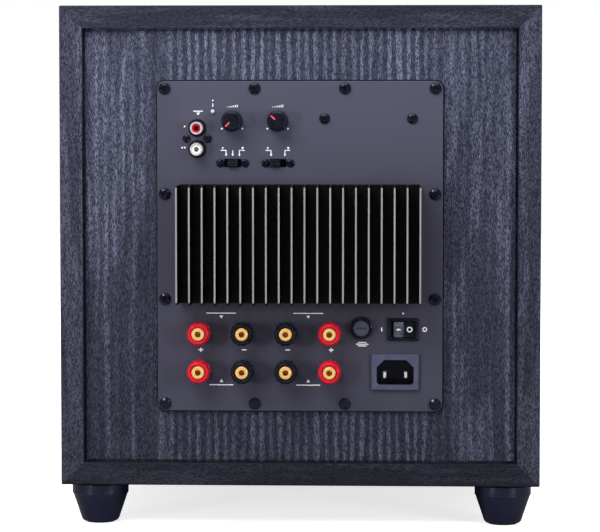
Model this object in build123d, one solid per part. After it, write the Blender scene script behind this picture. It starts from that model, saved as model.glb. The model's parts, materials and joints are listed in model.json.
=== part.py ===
from build123d import *
import os
from math import cos, pi, radians, sin, tan

# Powered subwoofer: a square vinyl-wrapped cabinet on four turned feet, with a long-throw woofer
# behind a pull-off cloth grille, a port that fires at the floor, and a plate amplifier with its
# controls, sockets and heat sink on the back.
#
# Millimetres. +Z up, the front (grille) faces -Y and the back (amplifier) faces +Y.
# The origin is on the floor, under the middle of the whole object's box.

# ---- sizes: cabinet -------------------------------------------------------------------------
cabinet_width = 320.0
cabinet_height = 320.0
cabinet_depth = 340.0
board = 15.0                 # top, bottom and side boards
edge_radius = 1.0            # long outer edges of the folded boards
rim_chamfer = 0.6            # front and back rims
dado_depth = 5.0             # grooves that hold the baffle and the back panel
dado_play = 0.2              # how much smaller a panel is than its grooves, on each edge
reveal_gap = 1.7             # shadow gap round the visible face of each panel
reveal_depth = 3.0           # how far each panel's face stands out of its groove
baffle_thickness = 18.0
back_thickness = 15.0
back_recess = 5.0            # back rim to the back panel's face
front_recess = 10.0          # front rim to the baffle's face

# ---- sizes: feet and cabinet screws -----------------------------------------------------------
foot_height = 28.0           # floor to the cabinet's underside
foot_radius = 19.0           # collar
foot_tip_radius = 12.6
foot_collar = 9.0
foot_inset = 23.7            # side of the cabinet, and its back rim, to the foot's middle
foot_setback = 36.0          # front rim to the middle of a front foot
pad_radius = 9.5
pad_thickness = 3.0
pad_proud = 1.0              # how far the pad stands out under the foot
screw_head_radius = 4.0
screw_head_height = 2.4
screw_shank_radius = 1.9
screw_point = 3.0
screw_play = 0.1             # round a screw's shank
foot_screw_length = 24.0
woofer_screw_length = 14.0
plate_screw_length = 14.0
control_screw_head = 2.8     # radius
control_screw_shank = 1.4
control_screw_length = 6.0
transformer_screw_head = 3.6
transformer_screw_shank = 1.9

# ---- sizes: grille ----------------------------------------------------------------------------
grille_frame_thickness = 15.0
grille_rail = 18.0           # width of the frame's rails
grille_corner = 8.0          # corner radius of the window in the frame
cloth_thickness = 0.8
grille_side_gap = 1.2        # cloth to the cabinet's boards
grille_seat_gap = 0.3        # frame to the baffle
peg_radius = 3.8
peg_length = 10.0            # outside the frame
peg_root = 8.0               # inside the frame
peg_play = 0.3
socket_wall = 1.4
socket_floor = 1.6
socket_flange_radius = 7.0
socket_flange = 1.2

# ---- sizes: woofer, as radii and as depths behind the baffle's face ---------------------------
woofer_radius = 105.0
woofer_rebate = 4.0          # the flange sinks this far into the baffle
woofer_screw_circle = 100.0  # radius
woofer_screw_count = 8
basket_steel = 2.0
cutout_radius = 91.0
basket_throat = 87.0         # radius inside the flange
ledge_depth = 42.0           # front of the ledge that the spider is glued to
ledge_outer = 61.0
ledge_inner = 46.0
basket_depth = 60.0          # front of the basket's floor
basket_arms = 6
arm_width = 16.0
window_front = 9.0
window_back = 38.0
voice_coil_radius = 19.35    # inside of the former
former_wall = 0.3
winding_wall = 1.05
winding_height = 18.0
gap_inside = 0.45            # pole to former
gap_outside = 0.6            # winding to top plate
former_front = 32.0
former_length = 46.0
top_plate_thickness = 8.0
top_plate_radius = 55.0
magnet_radius = 60.0
magnet_hole = 30.0
magnet_thickness = 20.0
yoke_thickness = 8.0
yoke_vent = 6.0
surround_rubber = 0.9
roll_radius = 6.5            # to the middle of the rubber
roll_middle = 82.0
surround_lip_outer = 95.0
surround_lip_inner = 70.5
lip_rubber = 0.8
gasket_inner = 90.5
gasket_thickness = 1.2
cone_paper = 1.2
cone_rim = 75.3
cone_rim_width = 4.3
cone_neck_depth = 32.6
dust_cap_radius = 30.0
dust_cap_rise = 9.0
dust_cap_wall = 0.8
spider_wall = 0.8
spider_roll = 2.7            # radius of each corrugation
spider_rolls = 4
spider_lip = 58.0

# ---- sizes: port ------------------------------------------------------------------------------
port_radius = 30.0           # inside
port_wall = 2.5
port_length = 130.0          # above the cabinet's underside
port_flange_rim = 4.0        # flat ring outside the flare
port_flange = 3.0
port_flare = 9.0
port_y = 4.0

# ---- sizes: amplifier plate and heat sink -----------------------------------------------------
plate_width = 190.0
plate_height = 220.0
plate_thickness = 2.5
plate_corner = 5.5
plate_gasket = 1.0
plate_gasket_lip = 0.8       # how far the gasket shows round the plate
plate_landing = 11.0         # how far the plate overlaps the back panel all round
plate_screw_inset = 5.0
plate_screw_columns = 4
plate_screw_rows = 4
hole_play = 0.3
sink_margin = 14.5           # plate's edge to the sink's, at each side
sink_height = 79.0
sink_base = 5.0
sink_depth = 30.0
fin_count = 20
fin_thickness = 1.1
fin_tip_radius = 3.0         # rounding of each fin's outer corners, at its top and bottom
sink_corner = 2.0
sink_x = 0.0
sink_z = 2.0                 # above the middle of the plate
sink_window_margin = 14.0

# ---- sizes: controls. Each place is (x, height above the middle of the plate) -----------------
rca_place = (68.2, 71.8)
rca_pitch = 14.0
rca_boss_radius = 5.6
rca_boss = 1.5
rca_shell_radius = 4.15
rca_shell_wall = 1.1
rca_root_step = 0.2          # how much narrower the shell is where the block holds it
rca_shell_length = 8.0
rca_hole = 1.7
rca_screw_pitch = 14.0
rca_block = (20.0, 30.0, 12.0)
led_place = (57.8, 89.7)
led_radius = 1.5
led_length = 6.0
volume_place = (45.0, 83.5)
crossover_place = (14.7, 83.5)
volume_pointer_angle = 225.0     # seen from behind, counter-clockwise from the right
crossover_pointer_angle = 138.0
knob_foot_radius = 7.0
knob_face_radius = 5.9
knob_height = 13.0
knob_gap = 1.0
knob_skirt = 2.0
knob_grooves = 18
knob_groove_radius = 0.45
pointer_width = 1.2
pointer_depth = 0.4
pot_radius = 8.0
pot_depth = 9.0
pot_bush_radius = 3.5
pot_bush_length = 5.0
pot_shaft_radius = 3.0
auto_place = (44.6, 55.5)
phase_place = (14.5, 55.5)
slot_width = 11.2
slot_height = 5.6
slider_width = 6.4
slider_height = 4.8
slider_proud = 3.2
switch_travel = 4.4
switch_screw_pitch = 16.5
switch_body = (15.6, 7.6, 8.0)
switch_ears = (22.5, 7.6, 1.0)
transformer_place = (-45.6, 85.1)
transformer_screw_pitch = 58.2
transformer_drop = 7.5       # screws to the middle of the core

# ---- sizes: terminals and mains fittings --------------------------------------------------------
post_first_x = 66.9
post_pitch = 29.0
post_rows = (-57.5, -82.9)
post_radius = 4.2
post_bore = 2.0
post_bore_depth = 10.5
post_proud = 17.0            # stud's tip to the plate
post_tail = 12.0
post_wire_hole = 1.3
bush_radius = 7.2
bush_flange = 2.0
bush_spigot = 5.4
nut_radius = 7.6
nut_length = 14.2
nut_play = 0.3
nut_seat_gap = 0.3
nut_grooves = 12
nut_groove_radius = 1.1
nut_travel = 4.5
back_nut_flats = 11.0
back_nut_thickness = 3.0
fuse_place = (-41.1, -54.0)
fuse_flange_radius = 7.4
fuse_flange = 3.0
fuse_body_radius = 6.2
fuse_body_length = 34.0
fuse_cap_radius = 5.2
fuse_cap_proud = 6.0
fuse_radius = 2.5
fuse_length = 20.0
fuse_play = 0.3
rocker_place = (-68.8, -55.0)
rocker_bezel = (21.0, 15.0, 2.0)
rocker_box = (19.0, 13.0, 15.0)
rocker_opening = (16.0, 11.2)
rocker_cavity = 9.0
rocker_half_length = 7.2
rocker_height = 10.4
rocker_tilt = 10.0
inlet_place = (-63.6, -83.5)
inlet_flange = (31.5, 24.0, 2.6)
inlet_box = (27.2, 19.8, 20.0)
inlet_socket = (24.6, 16.5, 17.0)
inlet_corner = 5.0
inlet_small_corner = 1.6
inlet_pin = (2.0, 4.0, 15.0)
inlet_pin_pitch = 14.0
inlet_pin_drop = 2.0

# ---- sizes: amplifier electronics and leads -------------------------------------------------------
core_size = (48.0, 40.0, 24.0)      # across, up, stack
core_limb = 8.0
core_window = 24.0                  # height of each window
winding_overhang = 7.0
transformer_strap = 1.5
transformer_strap_height = 18.0
main_board_size = (150.0, 74.0, 1.6)
main_board_standoff = 30.0
input_board_size = (80.0, 52.0, 1.6)
pillar_radius = 3.0
capacitor_radius = 12.5
capacitor_length = 35.0
capacitor_count = 4
lead_radius = 1.2
lead_spacing = 10.0
tag_board = (20.0, 11.0, 1.5)
tag_width = 4.8
tag_length = 8.0
tag_thickness = 0.8

# ---- places that follow from the sizes ----------------------------------------------------------
middle_z = foot_height + cabinet_height / 2
inner_half_width = cabinet_width / 2 - board
inner_half_height = cabinet_height / 2 - board
grille_proud = grille_frame_thickness + cloth_thickness + grille_seat_gap - front_recess
plate_face_above_rim = plate_gasket + plate_thickness - back_recess
rear_reach = sink_depth + plate_face_above_rim
overall_depth = grille_proud + cabinet_depth + rear_reach
front_rim = -overall_depth / 2 + grille_proud
back_rim = front_rim + cabinet_depth
baffle_face = front_rim + front_recess
baffle_back = baffle_face + baffle_thickness
back_face = back_rim - back_recess
back_inside = back_face - back_thickness
plate_inside = back_face + plate_gasket
plate_face = plate_inside + plate_thickness
cabinet_floor = foot_height + board

rearward = Rot(-90, 0, 0)    # turns local +Z to +Y
forward = Rot(90, 0, 0)      # turns local +Z to -Y


def turned(outline):
    """A solid of revolution about Z from a closed outline of (radius, height)."""
    return revolve(Plane.XZ * make_face(outline), Axis.Z)


def turned_polygon(*points):
    return turned(Polyline(*points, close=True))


def slab(width, height, y_from, y_to, x=0.0, z=0.0):
    """A box seen from the front: width along X, height along Z, between two Y planes."""
    return Pos(x, (y_from + y_to) / 2, z) * Box(width, y_to - y_from, height)


def rod(radius, y_from, y_to, x=0.0, z=0.0):
    """A cylinder along Y between two planes."""
    return Pos(x, (y_from + y_to) / 2, z) * rearward * Cylinder(radius, y_to - y_from)


def on_plate(place, y=0.0):
    """The location of a control on the amplifier plate, with local +Z pointing out of the back."""
    return Pos(place[0], y, middle_z + place[1]) * rearward


def screw(head_radius, head_height, shank_radius, length, point):
    """A pan-head screw with a cross recess: head up, the head's underside at z = 0."""
    body = turned_polygon(
        (0, head_height),
        (head_radius * 0.55, head_height),
        (head_radius * 0.9, head_height * 0.6),
        (head_radius, head_height * 0.2),
        (head_radius, 0),
        (shank_radius, 0),
        (shank_radius, point - length),
        (0, -length),
    )
    recess_depth = head_height * 0.7
    for turn in (0, 90):
        body -= Rot(0, 0, turn) * Pos(0, 0, head_height) * Box(
            head_radius * 1.15, head_radius * 0.26, recess_depth * 2
        )
    return body


def wood_screw(length):
    return screw(screw_head_radius, screw_head_height, screw_shank_radius, length, screw_point)


def write(name, shape):
    """Writes one node's solids to its STEP file."""
    solids = shape.solids()
    made = solids[0] if len(solids) == 1 else Compound(children=list(solids))
    export_step(made, f"parts/{name}.step")
    print(name, len(solids))


# ---- cabinet ------------------------------------------------------------------------------------
foot_places = [
    (side * (cabinet_width / 2 - foot_inset), y)
    for y in (front_rim + foot_setback, back_rim - foot_inset)
    for side in (-1, 1)
]
peg_x = inner_half_width - grille_side_gap - cloth_thickness - grille_rail / 2
peg_z = inner_half_height - grille_side_gap - cloth_thickness - grille_rail / 2
peg_places = [(i * peg_x, middle_z + j * peg_z) for i in (-1, 1) for j in (-1, 1)]


def cabinet_ring():
    """The four boards as one square tube, with its rims eased and the two grooves cut."""
    ring = slab(cabinet_width, cabinet_height, front_rim, back_rim, z=middle_z)
    ring = fillet(ring.edges().filter_by(Axis.Y), edge_radius)
    ring = chamfer(ring.faces().filter_by(Axis.Y).edges(), rim_chamfer)
    ring -= slab(2 * inner_half_width, 2 * inner_half_height, front_rim, back_rim, z=middle_z)
    for y_from, y_to in (
        (baffle_face + reveal_depth, baffle_back),
        (back_inside, back_face - reveal_depth),
    ):
        ring -= slab(
            2 * (inner_half_width + dado_depth),
            2 * (inner_half_height + dado_depth),
            y_from,
            y_to,
            z=middle_z,
        )
    return ring


def mitre_wedge(quarter):
    """The region that belongs to one board: 0 right, 1 top, 2 left, 3 bottom. It is cut on mitres."""
    w, h = cabinet_width, cabinet_height
    corners = [(w, -h), (w, h), (-w, h), (-w, -h)]
    a, b = corners[quarter], corners[(quarter + 1) % 4]
    face = make_face(Polyline((0, 0), a, b, close=True))
    wedge = extrude(face, amount=cabinet_depth)
    return Pos(0, back_rim, middle_z) * Rot(90, 0, 0) * wedge


def cabinet_boards():
    ring = cabinet_ring()
    right, top, left, bottom = [ring & mitre_wedge(quarter) for quarter in range(4)]
    bottom -= Pos(0, port_y, foot_height + board / 2) * Cylinder(port_radius + port_wall + hole_play, board)
    for x, y in foot_places:
        bottom -= Pos(x, y, foot_height + board / 2) * Cylinder(screw_shank_radius + screw_play, board)
    write("cabinet_top", top)
    write("cabinet_bottom", bottom)
    write("cabinet_sides", Compound(children=[left.solids()[0], right.solids()[0]]))


def grooved_panel(face_y, thickness, outward):
    """A panel whose edges sit in the boards' grooves. outward is -1 for the baffle, 1 for the back."""
    step_y = face_y - outward * reveal_depth
    deep_y = face_y - outward * thickness
    tongue = slab(
        2 * (inner_half_width + dado_depth - dado_play),
        2 * (inner_half_height + dado_depth - dado_play),
        min(step_y, deep_y),
        max(step_y, deep_y),
        z=middle_z,
    )
    face = slab(
        2 * (inner_half_width - reveal_gap),
        2 * (inner_half_height - reveal_gap),
        min(step_y, face_y),
        max(step_y, face_y),
        z=middle_z,
    )
    return tongue + face


def front_baffle():
    panel = grooved_panel(baffle_face, baffle_thickness, -1)
    panel -= rod(cutout_radius, baffle_face, baffle_back, z=middle_z)
    panel -= rod(woofer_radius + hole_play, baffle_face, baffle_face + woofer_rebate, z=middle_z)
    for x, z in woofer_screw_places():
        panel -= rod(screw_shank_radius + screw_play, baffle_face, baffle_back, x, z)
    bore = peg_radius + peg_play + socket_wall + screw_play
    for x, z in peg_places:
        panel -= rod(bore, baffle_face, baffle_back, x, z)
        panel -= rod(socket_flange_radius + screw_play, baffle_face, baffle_face + socket_flange, x, z)
    write("front_baffle", panel)


def plate_screw_places():
    """(x, z) of the screws round the rim of the amplifier plate."""
    half_w = plate_width / 2 - plate_screw_inset
    half_h = plate_height / 2 - plate_screw_inset
    step_x = 2 * half_w / (plate_screw_columns - 1)
    step_z = 2 * half_h / (plate_screw_rows - 1)
    places = []
    for column in range(plate_screw_columns):
        for row in range(plate_screw_rows):
            if column in (0, plate_screw_columns - 1) or row in (0, plate_screw_rows - 1):
                places.append((column * step_x - half_w, middle_z + row * step_z - half_h))
    return places


def back_panel():
    panel = grooved_panel(back_face, back_thickness, 1)
    panel -= slab(
        plate_width - 2 * plate_landing,
        plate_height - 2 * plate_landing,
        back_inside,
        back_face,
        z=middle_z,
    )
    for x, z in plate_screw_places():
        panel -= rod(screw_shank_radius + screw_play, back_inside, back_face, x, z)
    write("back_panel", panel)


def feet_and_screws():
    """The turned feet, their rubber pads, and all the wood screws that aren't in the plate."""
    pad_top = pad_thickness
    head_seat = foot_height - (foot_screw_length - board * 0.8)
    foot = turned_polygon(
        (foot_tip_radius - 1.0, pad_proud),
        (foot_tip_radius, pad_proud + 1.2),
        (foot_radius - 0.7, foot_height - foot_collar),
        (foot_radius, foot_height - foot_collar + 1.0),
        (foot_radius, foot_height - 1.6),
        (foot_radius - 0.8, foot_height),
        (screw_shank_radius + screw_play, foot_height),
        (screw_shank_radius + screw_play, head_seat),
        (screw_head_radius + 1.0, head_seat),
        (screw_head_radius + 1.0, pad_top),
        (pad_radius + screw_play, pad_top),
        (pad_radius + screw_play, pad_proud),
    )
    pad = Pos(0, 0, pad_thickness / 2) * Cylinder(pad_radius, pad_thickness)
    feet = [Pos(x, y, 0) * foot for x, y in foot_places]
    pads = [Pos(x, y, 0) * pad for x, y in foot_places]
    screws = [Pos(x, y, head_seat) * Rot(180, 0, 0) * wood_screw(foot_screw_length) for x, y in foot_places]
    seat_y = baffle_face + woofer_rebate - basket_steel
    screws += [Pos(x, seat_y, z) * forward * wood_screw(woofer_screw_length) for x, z in woofer_screw_places()]
    write("feet", Compound(children=feet))
    write("foot_pads", Compound(children=pads))
    write("cabinet_screws", Compound(children=screws))


def port_tube():
    """A moulded tube glued through the bottom board, with a flared mouth and a flange under the board."""
    mouth = foot_height - port_flange
    top = foot_height + port_length
    flange_radius = port_radius + port_flare + port_flange_rim
    outer = port_radius + port_wall
    outline = (
        Line((flange_radius, mouth + 1.0), (flange_radius, foot_height))
        + Line((flange_radius, foot_height), (outer, foot_height))
        + Line((outer, foot_height), (outer, top))
        + Line((outer, top), (port_radius, top))
        + Line((port_radius, top), (port_radius, mouth + port_flare))
        + ThreePointArc(
            (port_radius, mouth + port_flare),
            (port_radius + port_flare * (1 - cos(pi / 4)), mouth + port_flare * (1 - sin(pi / 4))),
            (port_radius + port_flare, mouth),
        )
        + Line((port_radius + port_flare, mouth), (flange_radius - 1.0, mouth))
        + Line((flange_radius - 1.0, mouth), (flange_radius, mouth + 1.0))
    )
    write("port_tube", Pos(0, port_y, 0) * turned(outline))


# ---- grille ---------------------------------------------------------------------------------------
def grille():
    rear = baffle_face - grille_seat_gap
    front = rear - grille_frame_thickness
    half_w = inner_half_width - grille_side_gap - cloth_thickness
    half_h = inner_half_height - grille_side_gap - cloth_thickness
    frame = slab(2 * half_w, 2 * half_h, front, rear, z=middle_z)
    window = slab(2 * (half_w - grille_rail), 2 * (half_h - grille_rail), front, rear, z=middle_z)
    frame -= fillet(window.edges().filter_by(Axis.Y), grille_corner)
    for x, z in peg_places:
        frame -= rod(peg_radius + screw_play, rear - peg_root, rear, x, z)
    cloth = slab(2 * (half_w + cloth_thickness), 2 * (half_h + cloth_thickness), front - cloth_thickness, rear, z=middle_z)
    cloth = fillet(cloth.edges().filter_by(Axis.Y), cloth_thickness * 1.5)
    cloth -= slab(2 * half_w, 2 * half_h, front, rear, z=middle_z)
    peg = turned_polygon(
        (0, -peg_root),
        (peg_radius, -peg_root),
        (peg_radius, peg_length - 2.5),
        (peg_radius - 1.6, peg_length),
        (0, peg_length),
    )
    inside = peg_radius + peg_play
    cup = turned_polygon(
        (inside, 0),
        (socket_flange_radius, 0),
        (socket_flange_radius, socket_flange),
        (inside + socket_wall, socket_flange),
        (inside + socket_wall, peg_length + socket_floor + 1.0),
        (0, peg_length + socket_floor + 1.0),
        (0, peg_length + 1.0),
        (inside, peg_length + 1.0),
    )
    write("grille_frame", frame)
    write("grille_cloth", cloth)
    write("grille_pegs", Compound(children=[Pos(x, rear, z) * rearward * peg for x, z in peg_places]))
    write("grille_sockets", Compound(children=[Pos(x, baffle_face, z) * rearward * cup for x, z in peg_places]))


# ---- woofer ---------------------------------------------------------------------------------------
def woofer_screw_places():
    """(x, z) of the woofer's screws, starting half a step off the top."""
    step = 360.0 / woofer_screw_count
    angles = [radians(step * (i + 0.5)) for i in range(woofer_screw_count)]
    return [(woofer_screw_circle * sin(a), middle_z + woofer_screw_circle * cos(a)) for a in angles]


flange_front = woofer_rebate - basket_steel
former_outside = voice_coil_radius + former_wall
winding_outside = former_outside + winding_wall
top_plate_front = basket_depth + basket_steel
magnet_front = top_plate_front + top_plate_thickness
yoke_front = magnet_front + magnet_thickness
yoke_back = yoke_front + yoke_thickness
cone_rim_front = flange_front
cone_inner_rim = cone_rim - cone_rim_width


def in_baffle(shape):
    """Puts a woofer piece, made with depth as +Z, into the baffle."""
    return Pos(0, baffle_face, middle_z) * rearward * shape


def cone_front(radius):
    """Depth of the cone's front face at a radius."""
    share = (cone_inner_rim - radius) / (cone_inner_rim - former_outside)
    return cone_rim_front + share * (cone_neck_depth - cone_rim_front)


def basket():
    wall = basket_steel * 1.22    # along the radius, so that the sloping wall is as thick as the steel
    shell = turned_polygon(
        (woofer_radius, flange_front),
        (woofer_radius, woofer_rebate),
        (basket_throat + wall - 0.6, woofer_rebate),
        (ledge_outer + wall - 1.2, ledge_depth + basket_steel),
        (ledge_inner + basket_steel, ledge_depth + basket_steel),
        (ledge_inner + basket_steel, basket_depth + basket_steel),
        (winding_outside + gap_outside, basket_depth + basket_steel),
        (winding_outside + gap_outside, basket_depth),
        (ledge_inner, basket_depth),
        (ledge_inner, ledge_depth),
        (ledge_outer, ledge_depth),
        (basket_throat, flange_front),
    )
    depth = window_back - window_front
    windows = Cylinder(cutout_radius, depth) - Cylinder(ledge_outer - 4, depth)
    for arm in range(basket_arms):
        windows -= Rot(0, 0, arm * 360 / basket_arms + 90) * Pos(cutout_radius / 2, 0, 0) * Box(
            cutout_radius + 10, arm_width, depth
        )
    shell -= Pos(0, 0, (window_front + window_back) / 2) * windows
    hole = screw_shank_radius + screw_play
    for i in range(woofer_screw_count):
        angle = 360.0 / woofer_screw_count * (i + 0.5)
        shell -= Rot(0, 0, angle) * Pos(0, woofer_screw_circle, woofer_rebate) * Cylinder(hole, 4 * basket_steel)
    write("woofer_basket", in_baffle(shell))


def surround_and_cone():
    lip = flange_front - lip_rubber
    gasket = turned_polygon(
        (gasket_inner, lip - gasket_thickness + 0.4),
        (gasket_inner + 0.4, lip - gasket_thickness),
        (surround_lip_outer, lip - gasket_thickness),
        (surround_lip_outer, lip),
        (gasket_inner, lip),
    )
    outside = roll_radius + surround_rubber / 2
    inside = roll_radius - surround_rubber / 2
    rise = lip + lip_rubber / 2
    roll = make_face(
        ThreePointArc((roll_middle - outside, rise), (roll_middle, rise - outside), (roll_middle + outside, rise))
        + Line((roll_middle + outside, rise), (roll_middle + inside, rise))
        + ThreePointArc((roll_middle + inside, rise), (roll_middle, rise - inside), (roll_middle - inside, rise))
        + Line((roll_middle - inside, rise), (roll_middle - outside, rise))
    )
    section = roll
    for start, end in (
        (surround_lip_inner, roll_middle - inside),
        (roll_middle + inside, surround_lip_outer),
    ):
        section += Pos((start + end) / 2, rise) * Rectangle(end - start, lip_rubber)
    surround = revolve(Plane.XZ * section, Axis.Z)

    neck = former_outside + 0.02
    cone = turned_polygon(
        (cone_rim, cone_rim_front),
        (cone_inner_rim, cone_rim_front),
        (neck, cone_front(neck)),
        (neck, cone_front(neck) + 1.6 * cone_paper),
        (cone_inner_rim - 0.6, cone_rim_front + cone_paper),
        (cone_rim, cone_rim_front + cone_paper),
    )
    base = cone_front(dust_cap_radius) - 0.3
    ball = (dust_cap_radius**2 + dust_cap_rise**2) / (2 * dust_cap_rise)
    shell = Sphere(ball) - Sphere(ball - dust_cap_wall)
    slice_middle = ball - dust_cap_rise / 2
    cap = shell & Pos(0, 0, -slice_middle) * Cylinder(ball, dust_cap_rise)
    cap = Pos(0, 0, base - dust_cap_rise + ball) * cap
    write("woofer_gasket", in_baffle(gasket))
    write("woofer_surround", in_baffle(surround))
    write("woofer_cone", in_baffle(cone))
    write("dust_cap", in_baffle(cap))


def coil_and_spider():
    former = turned_polygon(
        (voice_coil_radius, former_front),
        (former_outside, former_front),
        (former_outside, former_front + former_length),
        (voice_coil_radius, former_front + former_length),
    )
    middle = top_plate_front + top_plate_thickness / 2
    winding = turned_polygon(
        (former_outside, middle - winding_height / 2),
        (winding_outside, middle - winding_height / 2),
        (winding_outside, middle + winding_height / 2),
        (former_outside, middle + winding_height / 2),
    )
    write("voice_coil", Compound(children=[in_baffle(former).solids()[0], in_baffle(winding).solids()[0]]))

    plane = ledge_depth - spider_wall / 2
    rolls_width = 2 * spider_roll * spider_rolls
    rolls_start = (former_outside + ledge_inner - rolls_width) / 2
    section = Pos((former_outside + rolls_start) / 2, plane) * Rectangle(rolls_start - former_outside, spider_wall)
    rolls_end = rolls_start + rolls_width
    section += Pos((rolls_end + spider_lip) / 2, plane) * Rectangle(spider_lip - rolls_end, spider_wall)
    big, small = spider_roll + spider_wall / 2, spider_roll - spider_wall / 2
    for i in range(spider_rolls):
        middle = rolls_start + spider_roll * (2 * i + 1)
        way = -1 if i % 2 else 1
        section += make_face(
            ThreePointArc((middle - big, plane), (middle, plane - way * big), (middle + big, plane))
            + Line((middle + big, plane), (middle + small, plane))
            + ThreePointArc((middle + small, plane), (middle, plane - way * small), (middle - small, plane))
            + Line((middle - small, plane), (middle - big, plane))
        )
    write("woofer_spider", in_baffle(revolve(Plane.XZ * section, Axis.Z)))


def motor():
    plate_hole = winding_outside + gap_outside
    top_plate = turned_polygon(
        (plate_hole, top_plate_front),
        (top_plate_radius, top_plate_front),
        (top_plate_radius, magnet_front),
        (plate_hole, magnet_front),
    )
    magnet = turned_polygon(
        (magnet_hole, magnet_front),
        (magnet_radius - 1.5, magnet_front),
        (magnet_radius, magnet_front + 1.5),
        (magnet_radius, yoke_front - 1.5),
        (magnet_radius - 1.5, yoke_front),
        (magnet_hole, yoke_front),
    )
    pole = voice_coil_radius - gap_inside
    yoke = turned_polygon(
        (yoke_vent, basket_depth),
        (pole - 1.0, basket_depth),
        (pole, basket_depth + 1.0),
        (pole, yoke_front),
        (top_plate_radius, yoke_front),
        (top_plate_radius, yoke_back - 2.0),
        (top_plate_radius - 2.0, yoke_back),
        (yoke_vent, yoke_back),
    )
    write("woofer_magnet", in_baffle(magnet))
    write("woofer_motor_steel", Compound(children=[in_baffle(top_plate).solids()[0], in_baffle(yoke).solids()[0]]))


tag_y = baffle_face + ledge_depth + basket_steel + tag_board[2]    # back of the terminal strip
tag_top_z = middle_z - ledge_inner - basket_steel - 1.0


def woofer_terminals():
    """A fibre strip on the back of the basket's ledge with two soldering tags that point down."""
    strip = slab(
        tag_board[0],
        tag_board[1],
        tag_y - tag_board[2],
        tag_y,
        z=tag_top_z - tag_board[1] / 2,
    )
    tags = [
        slab(
            tag_width,
            tag_length + 4.0,
            tag_y,
            tag_y + tag_thickness,
            x=side * lead_spacing / 2,
            z=tag_top_z - tag_board[1] - tag_length / 2 + 2.0,
        )
        for side in (-1, 1)
    ]
    write("woofer_terminals", Compound(children=[strip, *tags]))


# ---- amplifier ------------------------------------------------------------------------------------
sink_width = plate_width - 2 * sink_margin
post_columns = [post_first_x - post_pitch * i for i in range(4)]
post_places = [(x, row) for row in post_rows for x in post_columns]
red_columns = (0, 3)
transformer_screws = [
    (transformer_place[0] + side * transformer_screw_pitch / 2, transformer_place[1]) for side in (-1, 1)
]
switch_screws = [
    (place[0] + side * switch_screw_pitch / 2, place[1])
    for place in (auto_place, phase_place)
    for side in (-1, 1)
]
rca_screws = [(rca_place[0] + side * rca_screw_pitch / 2, rca_place[1]) for side in (-1, 1)]
rca_sockets = [(rca_place[0], rca_place[1] + side * rca_pitch / 2) for side in (1, -1)]


def plate_and_gasket():
    plate = slab(plate_width, plate_height, plate_inside, plate_face, z=middle_z)
    plate = fillet(plate.edges().filter_by(Axis.Y), plate_corner)
    plate = chamfer(plate.faces().sort_by(Axis.Y)[-1].edges(), 0.3)
    gasket = slab(
        plate_width + 2 * plate_gasket_lip,
        plate_height + 2 * plate_gasket_lip,
        back_face,
        plate_inside,
        z=middle_z,
    )
    gasket = fillet(gasket.edges().filter_by(Axis.Y), plate_corner + plate_gasket_lip)
    gasket -= slab(
        plate_width - 2 * plate_landing,
        plate_height - 2 * plate_landing,
        back_face,
        plate_inside,
        z=middle_z,
    )
    for x, z in plate_screw_places():
        plate -= rod(screw_shank_radius + screw_play, plate_inside, plate_face, x, z)
        gasket -= rod(screw_shank_radius + screw_play, back_face, plate_inside, x, z)

    def drill(place, radius):
        return rod(radius, plate_inside, plate_face, place[0], middle_z + place[1])

    def window(place, width, height):
        return slab(width, height, plate_inside, plate_face, place[0], middle_z + place[1])

    for place in rca_sockets:
        plate -= drill(place, rca_boss_radius + hole_play)
    for place in (*rca_screws, *switch_screws):
        plate -= drill(place, control_screw_shank + screw_play)
    for place in transformer_screws:
        plate -= drill(place, transformer_screw_shank + screw_play)
    plate -= drill(led_place, led_radius + screw_play)
    for place in (volume_place, crossover_place):
        plate -= drill(place, pot_bush_radius + screw_play)
    for place in (auto_place, phase_place):
        plate -= window(place, slot_width, slot_height)
    for place in post_places:
        plate -= drill(place, bush_spigot + screw_play)
    plate -= drill(fuse_place, fuse_body_radius + screw_play)
    plate -= window(rocker_place, rocker_box[0] + screw_play, rocker_box[1] + screw_play)
    plate -= window(inlet_place, inlet_box[0] + screw_play, inlet_box[1] + screw_play)
    plate -= window(
        (sink_x, sink_z), sink_width - 2 * sink_window_margin, sink_height - 2 * sink_window_margin
    )
    write("amp_plate", plate)
    write("amp_gasket", gasket)


def plate_screws():
    one = wood_screw(plate_screw_length)
    write("plate_screws", Compound(children=[Pos(x, plate_face, z) * rearward * one for x, z in plate_screw_places()]))


def heat_sink():
    """An extruded sink: a base screwed to the plate and a comb of upright fins."""
    z = middle_z + sink_z
    tip = plate_face + sink_depth
    sink = slab(sink_width, sink_height, plate_face, plate_face + sink_base, sink_x, z)
    step = (sink_width - fin_thickness) / (fin_count - 1)
    first = sink_x - (sink_width - fin_thickness) / 2
    for i in range(fin_count):
        fin = slab(fin_thickness, sink_height, plate_face + sink_base, tip, first + i * step, z)
        sink += fillet(fin.faces().sort_by(Axis.Y)[-1].edges().filter_by(Axis.X), fin_tip_radius)
    outside = slab(sink_width, sink_height, plate_face, tip, sink_x, z)
    write("heat_sink", sink & fillet(outside.edges().filter_by(Axis.Y), sink_corner))


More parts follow.
